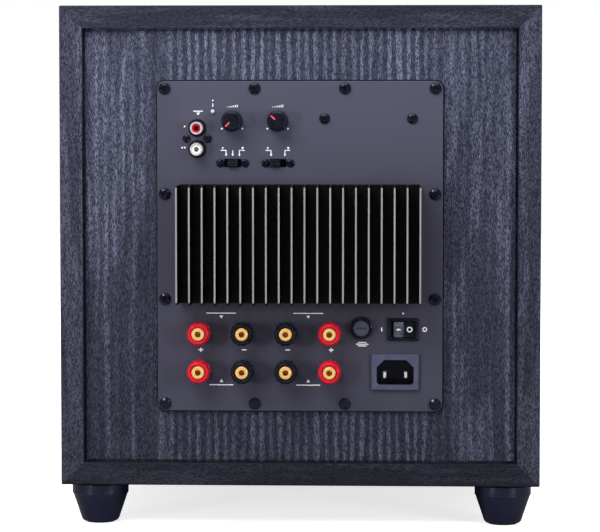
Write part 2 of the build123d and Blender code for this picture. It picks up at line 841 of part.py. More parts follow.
def transformer():
    """A laminated core with its winding, held by a strap on two screws through the plate."""
    width, height, stack = core_size
    strap_y = plate_inside - transformer_strap
    core_back = strap_y - winding_overhang - 0.5
    x, screw_z = transformer_place[0], middle_z + transformer_place[1]
    z = screw_z - transformer_drop
    core = slab(width, height, core_back - stack, core_back, x, z)
    window_width = (width - 4 * core_limb) / 2
    for side in (-1, 1):
        core -= slab(
            window_width,
            core_window,
            core_back - stack,
            core_back,
            x + side * (core_limb + window_width / 2),
            z,
        )
        # folded ends of the strap, which reach forward and grip the core's sides
        core += slab(
            transformer_strap,
            transformer_strap_height,
            core_back - stack,
            plate_inside,
            x + side * (width + transformer_strap) / 2,
            screw_z,
        )
        core += slab(
            (transformer_screw_pitch - width) / 2 + 5.0,
            transformer_strap_height,
            strap_y,
            plate_inside,
            x + side * (width / 2 + (transformer_screw_pitch - width) / 4 + 2.5),
            screw_z,
        )
    for place in transformer_screws:
        core -= rod(transformer_screw_shank + screw_play, strap_y, plate_inside, place[0], screw_z)
    coil_width = 2 * (core_limb + window_width - 0.5)
    coil = slab(
        coil_width,
        core_window - 1.0,
        core_back - stack - winding_overhang,
        core_back + winding_overhang,
        x,
        z,
    )
    coil = fillet(coil.edges().filter_by(Axis.Z), 3.0)
    coil -= slab(2 * core_limb + 0.4, core_window, core_back - stack - 0.2, core_back + 0.2, x, z)
    write("transformer_core", core)
    write("transformer_winding", coil)


main_board_y = plate_inside - main_board_standoff      # the board's face towards the plate
input_board_y = plate_inside - rca_block[2]
input_board_place = (41.5, 72.0)
main_board_place = (sink_x, sink_z)


def electronics():
    w, h, t = main_board_size
    x, z = main_board_place[0], middle_z + main_board_place[1]
    main_board = slab(w, h, main_board_y - t, main_board_y, x, z)
    pillars = []
    for i in (-1, 1):
        for j in (-1, 1):
            px, pz = x + i * (w / 2 - 6.0), z + j * (h / 2 - 5.0)
            pillars.append(rod(pillar_radius, main_board_y, plate_inside, px, pz))
    iw, ih, it = input_board_size
    input_board = slab(
        iw, ih, input_board_y - it, input_board_y, input_board_place[0], middle_z + input_board_place[1]
    )
    write("circuit_boards", Compound(children=[main_board, input_board, *pillars]))

    cans = []
    step = (w - 50.0) / capacitor_count
    for i in range(capacitor_count):
        cx = x - w / 2 + 18.0 + i * step
        can = rod(capacitor_radius, main_board_y - t - capacitor_length, main_board_y - t, cx, z + 16.0)
        cans.append(chamfer(can.edges().filter_by(GeomType.CIRCLE), 0.8))
    write("capacitors", Compound(children=cans))


def bend_radii(points):
    """For each inner point of a route, the largest bend that its two runs allow."""
    radii = []
    for before, here, after in zip(points, points[1:], points[2:]):
        run_in, run_out = Vector(*here) - Vector(*before), Vector(*after) - Vector(*here)
        turn = radians(run_in.get_angle(run_out))
        radii.append(0.45 * min(run_in.length, run_out.length) / tan(turn / 2))
    return radii


def speaker_leads():
    """Two insulated leads that sag from the amplifier's board to the woofer's tags."""
    tag_end = tag_top_z - tag_board[1] - tag_length
    start_y = tag_y + tag_thickness + lead_radius
    run = main_board_y - main_board_size[2] - start_y
    board_hole = middle_z + main_board_place[1] - 28.0
    leads = []
    for side in (-1, 1):
        x = side * lead_spacing / 2
        route = [
            (0.0, 0.0, tag_end + 6.0),
            (1.0, 1.0, tag_end - 13.0),
            (11.0, 0.06 * run, tag_end - 33.0),
            (28.0, 0.20 * run, tag_end - 49.0),
            (44.0, 0.40 * run, tag_end - 53.0),
            (51.0, 0.60 * run, tag_end - 43.0),
            (52.0, 0.75 * run, tag_end - 15.0),
            (50.0, run - 24.0, board_hole - 14.0),
            (50.0, run - 12.0, board_hole),
            (50.0, run, board_hole),
        ]
        points = [(x + across, start_y + along, height) for across, along, height in route]
        radii = bend_radii(points)
        print("speaker lead bend radii", [round(r, 1) for r in radii])
        path = FilletPolyline(*points, radius=radii)
        start = Plane(origin=path @ 0, z_dir=path % 0)
        lead = sweep(start * Circle(lead_radius), path=path)
        print("speaker lead length", round(path.length, 1), "volume ratio",
              round(lead.volume / (pi * lead_radius**2 * path.length), 4))
        leads.append(lead.solids()[0])
    write("speaker_leads", Compound(children=leads))


# ---- controls -------------------------------------------------------------------------------------
def rca_jacks():
    """One moulded block with two bosses through the plate, two plated shells and their insulators."""
    w, h, d = rca_block
    block = slab(w, h, plate_inside - d, plate_inside, rca_place[0], middle_z + rca_place[1])
    shells, cores = [], []
    inside = rca_shell_radius - rca_shell_wall
    root = plate_inside - 4.0
    boss_top = plate_face + rca_boss
    for place in rca_sockets:
        x, z = place[0], middle_z + place[1]
        block += rod(rca_boss_radius, plate_inside, boss_top, x, z)
        block -= rod(rca_shell_radius - rca_root_step, root, boss_top, x, z)
        tube = rod(rca_shell_radius - rca_root_step, root, boss_top, x, z)
        tube += rod(rca_shell_radius, boss_top, boss_top + rca_shell_length, x, z)
        tube -= rod(inside, root, boss_top + rca_shell_length, x, z)
        shells.append(tube)
        core = rod(inside, root, boss_top + rca_shell_length - 0.5, x, z)
        core -= rod(rca_hole, boss_top, boss_top + rca_shell_length - 0.5, x, z)
        cores.append(core)
    for place in rca_screws:
        block -= rod(
            control_screw_shank + screw_play, plate_inside - control_screw_length, plate_inside,
            place[0], middle_z + place[1],
        )
    write("rca_jack_block", block)
    write("rca_shells", Compound(children=[s.solids()[0] for s in shells]))
    write("rca_insulators", Compound(children=[c.solids()[0] for c in cores]))


def control_screws():
    """The small screws of the input block and switches, and the two larger ones of the transformer."""
    small = screw(control_screw_head, 1.7, control_screw_shank, control_screw_length, 1.0)
    large = screw(transformer_screw_head, 2.2, transformer_screw_shank, 8.0, 1.0)
    made = [on_plate(place, plate_face) * small for place in (*rca_screws, *switch_screws)]
    made += [on_plate(place, plate_face) * large for place in transformer_screws]
    write("control_screws", Compound(children=made))


def power_led():
    led = turned(
        Line((0, -led_length), (led_radius, -led_length))
        + Line((led_radius, -led_length), (led_radius, 0.4))
        + ThreePointArc((led_radius, 0.4), (led_radius * cos(pi / 4), 0.4 + led_radius * sin(pi / 4)),
                        (0, 0.4 + led_radius))
        + Line((0, 0.4 + led_radius), (0, -led_length))
    )
    led += Pos(0, 0, -plate_thickness - 0.75) * Cylinder(led_radius + 0.5, 1.5)
    write("power_led", on_plate(led_place, plate_face) * led)


def knob(pointer_angle):
    """A fluted knob and the shaft it is pressed on, as two solids, standing on the plate's face."""
    body = turned_polygon(
        (0, knob_gap),
        (knob_foot_radius, knob_gap),
        (knob_foot_radius, knob_gap + knob_skirt),
        (knob_foot_radius - 0.5, knob_gap + knob_skirt + 0.4),
        (knob_face_radius, knob_height - 0.5),
        (knob_face_radius - 0.5, knob_height),
        (0, knob_height),
    )
    for i in range(knob_grooves):
        angle = 360 / knob_grooves * i + 180 / knob_grooves
        body -= Rot(0, 0, angle) * Pos(knob_foot_radius - 0.35, 0, (knob_skirt + knob_height) / 2 + 1.6) * Cylinder(
            knob_groove_radius, knob_height - knob_skirt
        )
    hollow = pot_bush_length + 0.6
    body -= Pos(0, 0, hollow / 2) * Cylinder(pot_bush_radius + 0.5, hollow)
    shaft_top = knob_height - 2.0
    body -= Pos(0, 0, shaft_top / 2) * Cylinder(pot_shaft_radius + 0.02, shaft_top)
    pointer = Pos(knob_face_radius * 0.62, 0, knob_height) * Box(
        knob_face_radius * 0.8, pointer_width, 2 * pointer_depth
    )
    # seen from behind, +X runs to the left, so an angle that grows counter-clockwise there is mirrored here
    body -= Rot(0, 0, pointer_turn(pointer_angle)) * pointer
    shaft_foot = -pot_depth / 2
    shaft = Pos(0, 0, (shaft_top + shaft_foot) / 2) * Cylinder(pot_shaft_radius, shaft_top - shaft_foot)
    return body, shaft


def pointer_turn(angle):
    """Turns an angle seen from behind into a turn in the plate's own axes."""
    a = radians(angle)
    across, up = -cos(a), sin(a)    # row X and row Z of the pointer's direction
    # in the plate's axes local x is row X and local y is minus row Z
    return Vector(1, 0, 0).get_signed_angle(Vector(across, -up, 0), Vector(0, 0, 1))


def knobs_and_pots():
    pots = []
    for name, place, angle in (
        ("volume_knob", volume_place, volume_pointer_angle),
        ("crossover_knob", crossover_place, crossover_pointer_angle),
    ):
        body, shaft = knob(angle)
        at = on_plate(place, plate_face)
        write(name, Compound(children=[(at * body).solids()[0], (at * shaft).solids()[0]]))
        pot = Pos(0, 0, -plate_thickness - pot_depth / 2) * Cylinder(pot_radius, pot_depth)
        pot += Pos(0, 0, (pot_bush_length - plate_thickness) / 2) * Cylinder(
            pot_bush_radius, pot_bush_length + plate_thickness
        )
        bore = pot_depth / 2 + pot_bush_length + 1.0
        pot -= Pos(0, 0, pot_bush_length - bore / 2) * Cylinder(pot_shaft_radius + 0.1, bore)
        pots.append((at * pot).solids()[0])
    write("potentiometers", Compound(children=pots))


slider_places = {
    "auto_switch_slider": (auto_place, 0.0),
    # seen from behind the phase slider rests at the left of its slot, which is towards +X
    "phase_switch_slider": (phase_place, switch_travel / 2),
}


def slide_switches():
    bw, bh, bd = switch_body
    ew, eh, et = switch_ears
    cavity = (slider_width + 2.0 + switch_travel + 0.8, slot_height + 0.6)
    bodies = []
    for place, _ in slider_places.values():
        x, z = place[0], middle_z + place[1]
        body = slab(ew, eh, plate_inside - et, plate_inside, x, z) + slab(bw, bh, plate_inside - bd, plate_inside, x, z)
        body -= slab(cavity[0], cavity[1], plate_inside - bd + 2.0, plate_inside, x, z)
        for side in (-1, 1):
            body -= rod(
                control_screw_shank + screw_play,
                plate_inside - bd,
                plate_inside,
                x + side * switch_screw_pitch / 2,
                z,
            )
        bodies.append(body.solids()[0])
    write("slide_switch_bodies", Compound(children=bodies))
    carriage_bottom = plate_inside - bd + 2.3
    for name, (place, offset) in slider_places.items():
        x, z = place[0] + offset, middle_z + place[1]
        thumb = slab(slider_width, slider_height, carriage_bottom, plate_face + slider_proud, x, z)
        thumb = chamfer(thumb.faces().sort_by(Axis.Y)[-1].edges(), 0.3)
        for i in range(-2, 3):
            thumb -= slab(0.4, slider_height, plate_face + slider_proud - 0.4, plate_face + slider_proud, x + i * 1.1, z)
        thumb += slab(slider_width + 2.0, slider_height + 0.4, carriage_bottom, plate_inside - 0.3, x, z)
        write(name, thumb)


# ---- speaker terminals ------------------------------------------------------------------------------
nut_start = bush_flange + nut_seat_gap


def post_nut():
    """The grip of one binding post, with flutes and a countersunk face, standing on the plate's face."""
    top = nut_start + nut_length
    nut = turned_polygon(
        (post_radius + nut_play, nut_start),
        (nut_radius - 0.5, nut_start),
        (nut_radius, nut_start + 0.5),
        (nut_radius, top - 1.6),
        (nut_radius - 1.2, top),
        (post_radius + nut_play + 0.9, top),
        (post_radius + nut_play + 0.5, top - 1.0),
        (post_radius + nut_play, top - 1.0),
    )
    for i in range(nut_grooves):
        nut -= Rot(0, 0, 360 / nut_grooves * i) * Pos(nut_radius + 0.55, 0, top / 2 + 4.0) * Cylinder(
            nut_groove_radius, top
        )
    return nut


def binding_posts():
    stud = Pos(0, 0, (post_proud - post_tail) / 2) * Cylinder(post_radius, post_proud + post_tail)
    stud = chamfer(stud.faces().sort_by(Axis.Z)[-1].edges(), 0.5)
    stud -= Pos(0, 0, post_proud - post_bore_depth / 2) * Cylinder(post_bore, post_bore_depth)
    stud -= Pos(0, 0, nut_start + 2.2) * Rot(90, 0, 0) * Cylinder(post_wire_hole, 4 * post_radius)
    bush = turned_polygon(
        (post_radius + 0.05, -plate_thickness),
        (bush_spigot, -plate_thickness),
        (bush_spigot, 0),
        (bush_radius, 0),
        (bush_radius, bush_flange - 0.4),
        (bush_radius - 0.4, bush_flange),
        (post_radius + 0.05, bush_flange),
    )
    back_nut = extrude(RegularPolygon(back_nut_flats / 2, 6, major_radius=False), amount=back_nut_thickness)
    back_nut -= Pos(0, 0, back_nut_thickness / 2) * Cylinder(post_radius + 0.05, back_nut_thickness)
    back_nut = Pos(0, 0, -plate_thickness - back_nut_thickness) * back_nut
    nut = post_nut()
    studs, bushes = [], []
    counts = {"red": 0, "black": 0}
    for index, place in enumerate(post_places):
        at = on_plate(place, plate_face)
        studs += [(at * stud).solids()[0], (at * back_nut).solids()[0]]
        bushes.append((at * bush).solids()[0])
        colour = "red" if index % 4 in red_columns else "black"
        counts[colour] += 1
        write(f"{colour}_post_nut_{counts[colour]}", at * nut)
    write("post_studs", Compound(children=studs))
    write("post_bushes", Compound(children=bushes))


# ---- fuse, power switch and mains inlet ------------------------------------------------------------
def fuse_holder():
    bore = fuse_cap_radius + fuse_play
    cap_depth = 10.0                      # how far the cap's skirt reaches in
    fuse_front = -3.0                     # front end of the fuse
    fuse_back = fuse_front - fuse_length
    rear = -fuse_body_length
    # the thin wall between the cap and the plate's hole steps in to a narrower tube for the fuse
    step = fuse_radius + 1.0
    holder = turned_polygon(
        (bore, fuse_flange),
        (fuse_flange_radius - 0.6, fuse_flange),
        (fuse_flange_radius, fuse_flange - 0.6),
        (fuse_flange_radius, 0),
        (fuse_body_radius, 0),
        (fuse_body_radius, rear),
        (0, rear),
        (0, fuse_back - 0.3),
        (step, fuse_back - 0.3),
        (step, -cap_depth - 0.3),
        (bore, -cap_depth - 0.3),
    )
    cap_top = fuse_flange + fuse_cap_proud - 2.0
    cup = fuse_radius + fuse_play
    cap = turned_polygon(
        (0, cap_top),
        (fuse_cap_radius - 0.5, cap_top),
        (fuse_cap_radius, cap_top - 0.5),
        (fuse_cap_radius, -cap_depth),
        (cup, -cap_depth),
        (cup, fuse_front + 0.3),
        (0, fuse_front + 0.3),
    )
    cap -= Pos(0, 0, cap_top) * Box(7.0, 1.5, 2.4)
    fuse = Pos(0, 0, (fuse_front + fuse_back) / 2) * Cylinder(fuse_radius, fuse_length)
    at = on_plate(fuse_place, plate_face)
    write("fuse_holder", at * holder)
    write("fuse_cap", at * cap)
    write("fuse", at * fuse)


rocker_pivot = -1.0          # the rocker's axis, from the plate's face


def power_switch():
    bw, bh, bt = rocker_bezel
    w, h, d = rocker_box
    ow, oh = rocker_opening
    x, z = rocker_place[0], middle_z + rocker_place[1]
    body = slab(bw, bh, plate_face, plate_face + bt, x, z)
    body = fillet(body.edges().filter_by(Axis.Y), 1.2)
    body = chamfer(body.faces().sort_by(Axis.Y)[-1].edges(), 0.5)
    body += slab(w, h, plate_face - d, plate_face, x, z)
    body -= slab(ow, oh, plate_face - rocker_cavity, plate_face + bt, x, z)
    write("power_switch_body", body)

    reach = rocker_half_length
    outline = make_face(
        Polyline(
            (-reach, 3.4), (0, 2.2), (reach, 3.4), (reach, -0.5), (2.5, -4.5), (-2.5, -4.5), (-reach, -0.5), close=True
        )
    )
    paddle = Pos(0, 0, -rocker_height / 2) * extrude(outline, amount=rocker_height)
    paddle = chamfer(paddle.edges().filter_by(Axis.Z).group_by(Axis.Y)[-1], 0.4)
    # at rest the side marked 0, towards -X, is pressed in
    paddle = Pos(x, plate_face + rocker_pivot, z) * Rot(0, 0, rocker_tilt) * paddle
    write("power_rocker", paddle)


def socket_outline(width, height, corner, small):
    """An appliance inlet's outline, seen with +y as up: large bevels at the top and small ones below."""
    w, h = width / 2, height / 2
    return make_face(
        Polyline(
            (-w, -h + small), (-w + small, -h), (w - small, -h), (w, -h + small),
            (w, h - corner), (w - corner, h), (-w + corner, h), (-w, h - corner),
            close=True,
        )
    )


def mains_inlet():
    fw, fh, ft = inlet_flange
    w, h, d = inlet_box
    sw, sh, sd = inlet_socket
    x, z = inlet_place[0], middle_z + inlet_place[1]
    body = slab(fw, fh, plate_face, plate_face + ft, x, z)
    body = chamfer(body.faces().sort_by(Axis.Y)[-1].edges(), 0.5)
    body += slab(w, h, plate_face - d + ft, plate_face, x, z)
    hollow = extrude(socket_outline(sw, sh, inlet_corner, inlet_small_corner), amount=sd)
    mouth = plate_face + ft
    body -= Pos(x, mouth, z) * Rot(90, 0, 0) * hollow
    pw, ph, pl = inlet_pin
    pins = []
    for side in (-1, 1):
        px = x + side * inlet_pin_pitch / 2
        body -= slab(pw, ph, plate_face - d + ft, mouth - sd, px, z - inlet_pin_drop)
        pin = slab(pw, ph, plate_face - d + ft - 4.0, mouth - sd + pl, px, z - inlet_pin_drop)
        pins.append(chamfer(pin.faces().sort_by(Axis.Y)[-1].edges(), 0.5))
    write("inlet_body", body)
    write("inlet_pins", Compound(children=[p.solids()[0] for p in pins]))


def build():
    os.makedirs("parts", exist_ok=True)
    cabinet_boards()
    front_baffle()
    back_panel()
    feet_and_screws()
    port_tube()
    grille()
    basket()
    surround_and_cone()
    coil_and_spider()
    motor()
    woofer_terminals()
    plate_and_gasket()
    plate_screws()
    heat_sink()
    transformer()
    electronics()
    speaker_leads()
    rca_jacks()
    control_screws()
    power_led()
    knobs_and_pots()
    slide_switches()
    binding_posts()
    fuse_holder()
    power_switch()
    mains_inlet()


build()
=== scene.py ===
import bpy, json
import numpy as np
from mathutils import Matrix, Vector


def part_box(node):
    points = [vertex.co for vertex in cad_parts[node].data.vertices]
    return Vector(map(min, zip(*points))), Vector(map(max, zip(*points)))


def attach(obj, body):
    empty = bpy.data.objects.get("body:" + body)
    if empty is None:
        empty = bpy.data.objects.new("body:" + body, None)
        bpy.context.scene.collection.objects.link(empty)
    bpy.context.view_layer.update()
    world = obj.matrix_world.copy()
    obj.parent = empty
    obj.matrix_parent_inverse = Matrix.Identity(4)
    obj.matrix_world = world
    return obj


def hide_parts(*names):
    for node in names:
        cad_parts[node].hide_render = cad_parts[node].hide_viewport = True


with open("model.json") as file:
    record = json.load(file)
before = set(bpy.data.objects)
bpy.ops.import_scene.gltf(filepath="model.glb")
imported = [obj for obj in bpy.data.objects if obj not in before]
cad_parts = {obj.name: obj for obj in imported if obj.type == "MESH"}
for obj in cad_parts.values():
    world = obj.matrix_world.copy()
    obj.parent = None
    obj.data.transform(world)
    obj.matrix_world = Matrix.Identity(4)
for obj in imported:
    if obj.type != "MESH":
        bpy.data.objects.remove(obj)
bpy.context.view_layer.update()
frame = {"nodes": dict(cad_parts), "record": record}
nodes = frame["nodes"]
mm = 0.001


def middleOf(name):
    low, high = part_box(name)
    return (low + high) / 2


# places that the frame gives, in metres
plateLow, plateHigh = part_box("amp_plate")
plateFace = plateHigh.y
plateMid = (plateLow.z + plateHigh.z) / 2

camera = {
    "place": (-0.0680, 1.8835, 0.2785),
    "aim": (-0.0002, 0.1588, 0.1752),
    "lens": 156.0,
    "sensorWidth": 36.0,
}
cameraData = bpy.data.cameras.new("camera")
cameraObject = bpy.data.objects.new("camera", cameraData)
bpy.context.scene.collection.objects.link(cameraObject)
cameraObject.location = camera["place"]
lookAlong = Vector(camera["aim"]) - Vector(camera["place"])
cameraObject.rotation_euler = lookAlong.to_track_quat("-Z", "Y").to_euler()
cameraData.lens = camera["lens"]
cameraData.sensor_width = camera["sensorWidth"]
bpy.context.scene.camera = cameraObject
print("camera placed")


# a shader node with some of its sockets set or linked
def addNode(tree, kind, values=None, **settings):
    node = tree.nodes.new("ShaderNode" + kind)
    for key, value in settings.items():
        setattr(node, key, value)
    for key, value in (values or {}).items():
        if isinstance(value, bpy.types.NodeSocket):
            tree.links.new(value, node.inputs[key])
        else:
            node.inputs[key].default_value = value
    return node


def calc(tree, operation, first, second=0.0):
    return addNode(tree, "Math", {0: first, 1: second}, operation=operation).outputs[0]


# value from low..high becomes newLow..newHigh, held at the ends
def ranged(tree, value, low, high, newLow=0.0, newHigh=1.0):
    values = {"Value": value, "From Min": low, "From Max": high, "To Min": newLow, "To Max": newHigh}
    return addNode(tree, "MapRange", values, clamp=True, interpolation_type="SMOOTHSTEP").outputs[0]


def blendColour(tree, share, first, second):
    node = addNode(tree, "Mix", {0: share}, data_type="RGBA")
    for index, colour in ((6, first), (7, second)):
        if isinstance(colour, bpy.types.NodeSocket):
            tree.links.new(colour, node.inputs[index])
        else:
            node.inputs[index].default_value = (*colour, 1)
    return node.outputs[2]


# noise whose grains are size metres across, on the piece's own coordinates stretched by stretch
def grains(tree, size, detail=2.0, rough=0.5, stretch=(1, 1, 1), shift=(0, 0, 0), twist=0.0):
    coords = addNode(tree, "TexCoord").outputs["Object"]
    mapped = addNode(tree, "Mapping", {"Vector": coords, "Location": shift, "Scale": stretch}).outputs[0]
    values = {"Vector": mapped, "Scale": 1 / size, "Detail": detail, "Roughness": rough}
    values["Distortion"] = twist
    return addNode(tree, "TexNoise", values).outputs[0]


def objectAxes(tree):
    coords = addNode(tree, "TexCoord").outputs["Object"]
    return addNode(tree, "SeparateXYZ", {0: coords}).outputs


# a new material whose shader has its fixed sockets set, and a rounded-edge normal to build on
def startMaterial(name, colour, sockets=None, edge=0.3 * mm):
    material = bpy.data.materials.new(name)
    material.use_nodes = True
    tree = material.node_tree
    shader = tree.nodes["Principled BSDF"]
    shader.inputs["Base Color"].default_value = (*colour, 1)
    for key, value in (sockets or {}).items():
        shader.inputs[key].default_value = value
    material.diffuse_color = (*colour, 1)
    normal = addNode(tree, "Bevel", {"Radius": edge}, samples=4).outputs[0] if edge else None
    return material, tree, shader, normal


def setBump(tree, shader, height, strength, distance, normal):
    values = {"Height": height, "Strength": strength, "Distance": distance}
    if normal is not None:
        values["Normal"] = normal
    bump = addNode(tree, "Bump", values)
    tree.links.new(bump.outputs[0], shader.inputs["Normal"])


# black-ash foil: the light figure is short worm-like strokes, gathered into soft streaks
# or into even pinstripes
ashFoil = {
    "dark": (0.0090, 0.0110, 0.0270),
    "light": (0.150, 0.158, 0.240),
    "paintedShading": (0.58, 1.16),        # painted shade: strength of the colour at the lower and the upper height, darker towards the bottom as if lit from above
    "paintedShadingHeights": (0.04, 0.33),
    "strokeWidth": 0.50 * mm,
    "strokeLength": 1.9 * mm,
    "strokeEdge": (0.43, 0.59, 0.24, 1.20),      # grain values, and the strength they give
    "poreEdge": (0.47, 0.57),
    "poreShare": 0.24,
    "fineEdge": (0.38, 0.56, 0.25, 1.0),
    "streakWidth": 15 * mm,
    "streakStretch": 0.09,
    "streakEdge": (0.44, 0.58, 0.16, 0.62),
    "boardStreaks": 0.6,         # streak width on the cabinet's boards, as a share of the panel's
    "patchSize": 26 * mm,
    "patchEdge": (0.3, 0.65, 0.55, 1.0),
    "rough": (0.42, 0.60),
    "emboss": 0.10 * mm,
    "specular": 0.22,
    "edge": 0.5 * mm,
}
# the back panel's pinstripes, which wander and thin out beside the plate
pinLines = {
    "pitch": 6.1 * mm,
    "halfWidth": 92 * mm,
    "fadeOut": 8 * mm,
    "wander": 9.0 * mm,
    "wanderSize": 22 * mm,
    "strengthSize": 7 * mm,
    "strengthEdge": (0.34, 0.62, 0.45, 1.0),
    "waveEdge": (-0.45, 0.85, 0.10, 0.85),
    "thinning": 0.45,
}


# along is the axis that the figure runs on, and the tone sets the strength of its light strokes: a painted
# sheen, weaker on the top and bottom boards, for the way the grain's direction catches the light
def ashMaterial(name, along, sheenTone, pins=False, shift=(0, 0, 0)):
    look = ashFoil
    light = [c * sheenTone for c in look["light"]]
    dark = [c * (0.55 + 0.45 * sheenTone) for c in look["dark"]]
    sockets = {"Specular IOR Level": look["specular"]}
    material, tree, shader, edge = startMaterial(name, dark, sockets, look["edge"])

    def stretched(ratio):
        return [ratio if i == along else 1.0 for i in range(3)]

    ratio = look["strokeWidth"] / look["strokeLength"]
    strokes = grains(tree, look["strokeWidth"], 1.5, 0.6, stretched(ratio), shift, 0.35)
    fine = grains(tree, look["strokeWidth"] * 0.5, 2.0, 0.6, stretched(ratio * 0.7), shift)
    pores = ranged(tree, strokes, *look["poreEdge"])
    pores = calc(tree, "MULTIPLY", pores, ranged(tree, fine, *look["fineEdge"]))
    streakWidth = look["streakWidth"] * (1.0 if pins else look["boardStreaks"])
    slow = grains(tree, streakWidth, 3.0, 0.6, stretched(look["streakStretch"]), shift, 0.6)
    streaks = ranged(tree, slow, *look["streakEdge"])
    patchy = grains(tree, look["patchSize"], 3.0, 0.6, stretched(0.35), shift)
    patchy = ranged(tree, patchy, *look["patchEdge"])
    if pins:
        streaks = pinStreaks(tree, streaks, stretched, shift)
    wormy = ranged(tree, strokes, *look["strokeEdge"])
    figure = calc(tree, "MULTIPLY", calc(tree, "MULTIPLY", streaks, patchy), wormy)
    speckle = calc(tree, "MULTIPLY", pores, look["poreShare"])
    share = addNode(tree, "Math", {0: figure, 1: speckle}, operation="ADD", use_clamp=True).outputs[0]
    # painted shade: the foil's colour is scaled down towards the bottom and up towards the top, standing
    # in for light from above
    paintedShadeFactor = ranged(tree, objectAxes(tree)[2], *look["paintedShadingHeights"], *look["paintedShading"])
    printedColour = blendColour(tree, share, dark, light)
    shadedColour = addNode(tree, "VectorMath", {0: printedColour, "Scale": paintedShadeFactor}, operation="SCALE").outputs[0]
    tree.links.new(shadedColour, shader.inputs["Base Color"])
    tree.links.new(ranged(tree, share, 0.0, 0.8, *look["rough"]), shader.inputs["Roughness"])
    setBump(tree, shader, calc(tree, "ADD", pores, share), 0.35, look["emboss"], edge)
    return material


# the pinstripes are a sine across the panel, shifted by slow noise: they fill the plate's width,
# and beside it they thin out into the streaks
def pinStreaks(tree, streaks, stretched, shift):
    look = pinLines
    across = objectAxes(tree)[0]
    wander = grains(tree, look["wanderSize"], 3.0, 0.6, stretched(0.20), shift)
    offset = calc(tree, "MULTIPLY", calc(tree, "SUBTRACT", wander, 0.5), look["wander"])
    turns = calc(tree, "MULTIPLY", calc(tree, "ADD", across, offset), 2 * np.pi / look["pitch"])
    wave = calc(tree, "SINE", turns)
    strength = grains(tree, look["strengthSize"], 2.0, 0.6, stretched(0.06), shift)
    strength = ranged(tree, strength, *look["strengthEdge"])
    narrow = calc(tree, "MULTIPLY", ranged(tree, wave, *look["waveEdge"]), strength)
    halfWidth = look["halfWidth"]
    inside = ranged(tree, calc(tree, "ABSOLUTE", across), halfWidth - look["fadeOut"], halfWidth, 1, 0)
    thinned = calc(tree, "MULTIPLY", streaks, calc(tree, "ADD", narrow, look["thinning"]))
    beside = calc(tree, "MULTIPLY", thinned, calc(tree, "SUBTRACT", 1.0, inside))
    return calc(tree, "ADD", calc(tree, "MULTIPLY", narrow, inside), beside)


# tint of the highlights on black mouldings
coolGlint = (0.70, 0.77, 1.0)
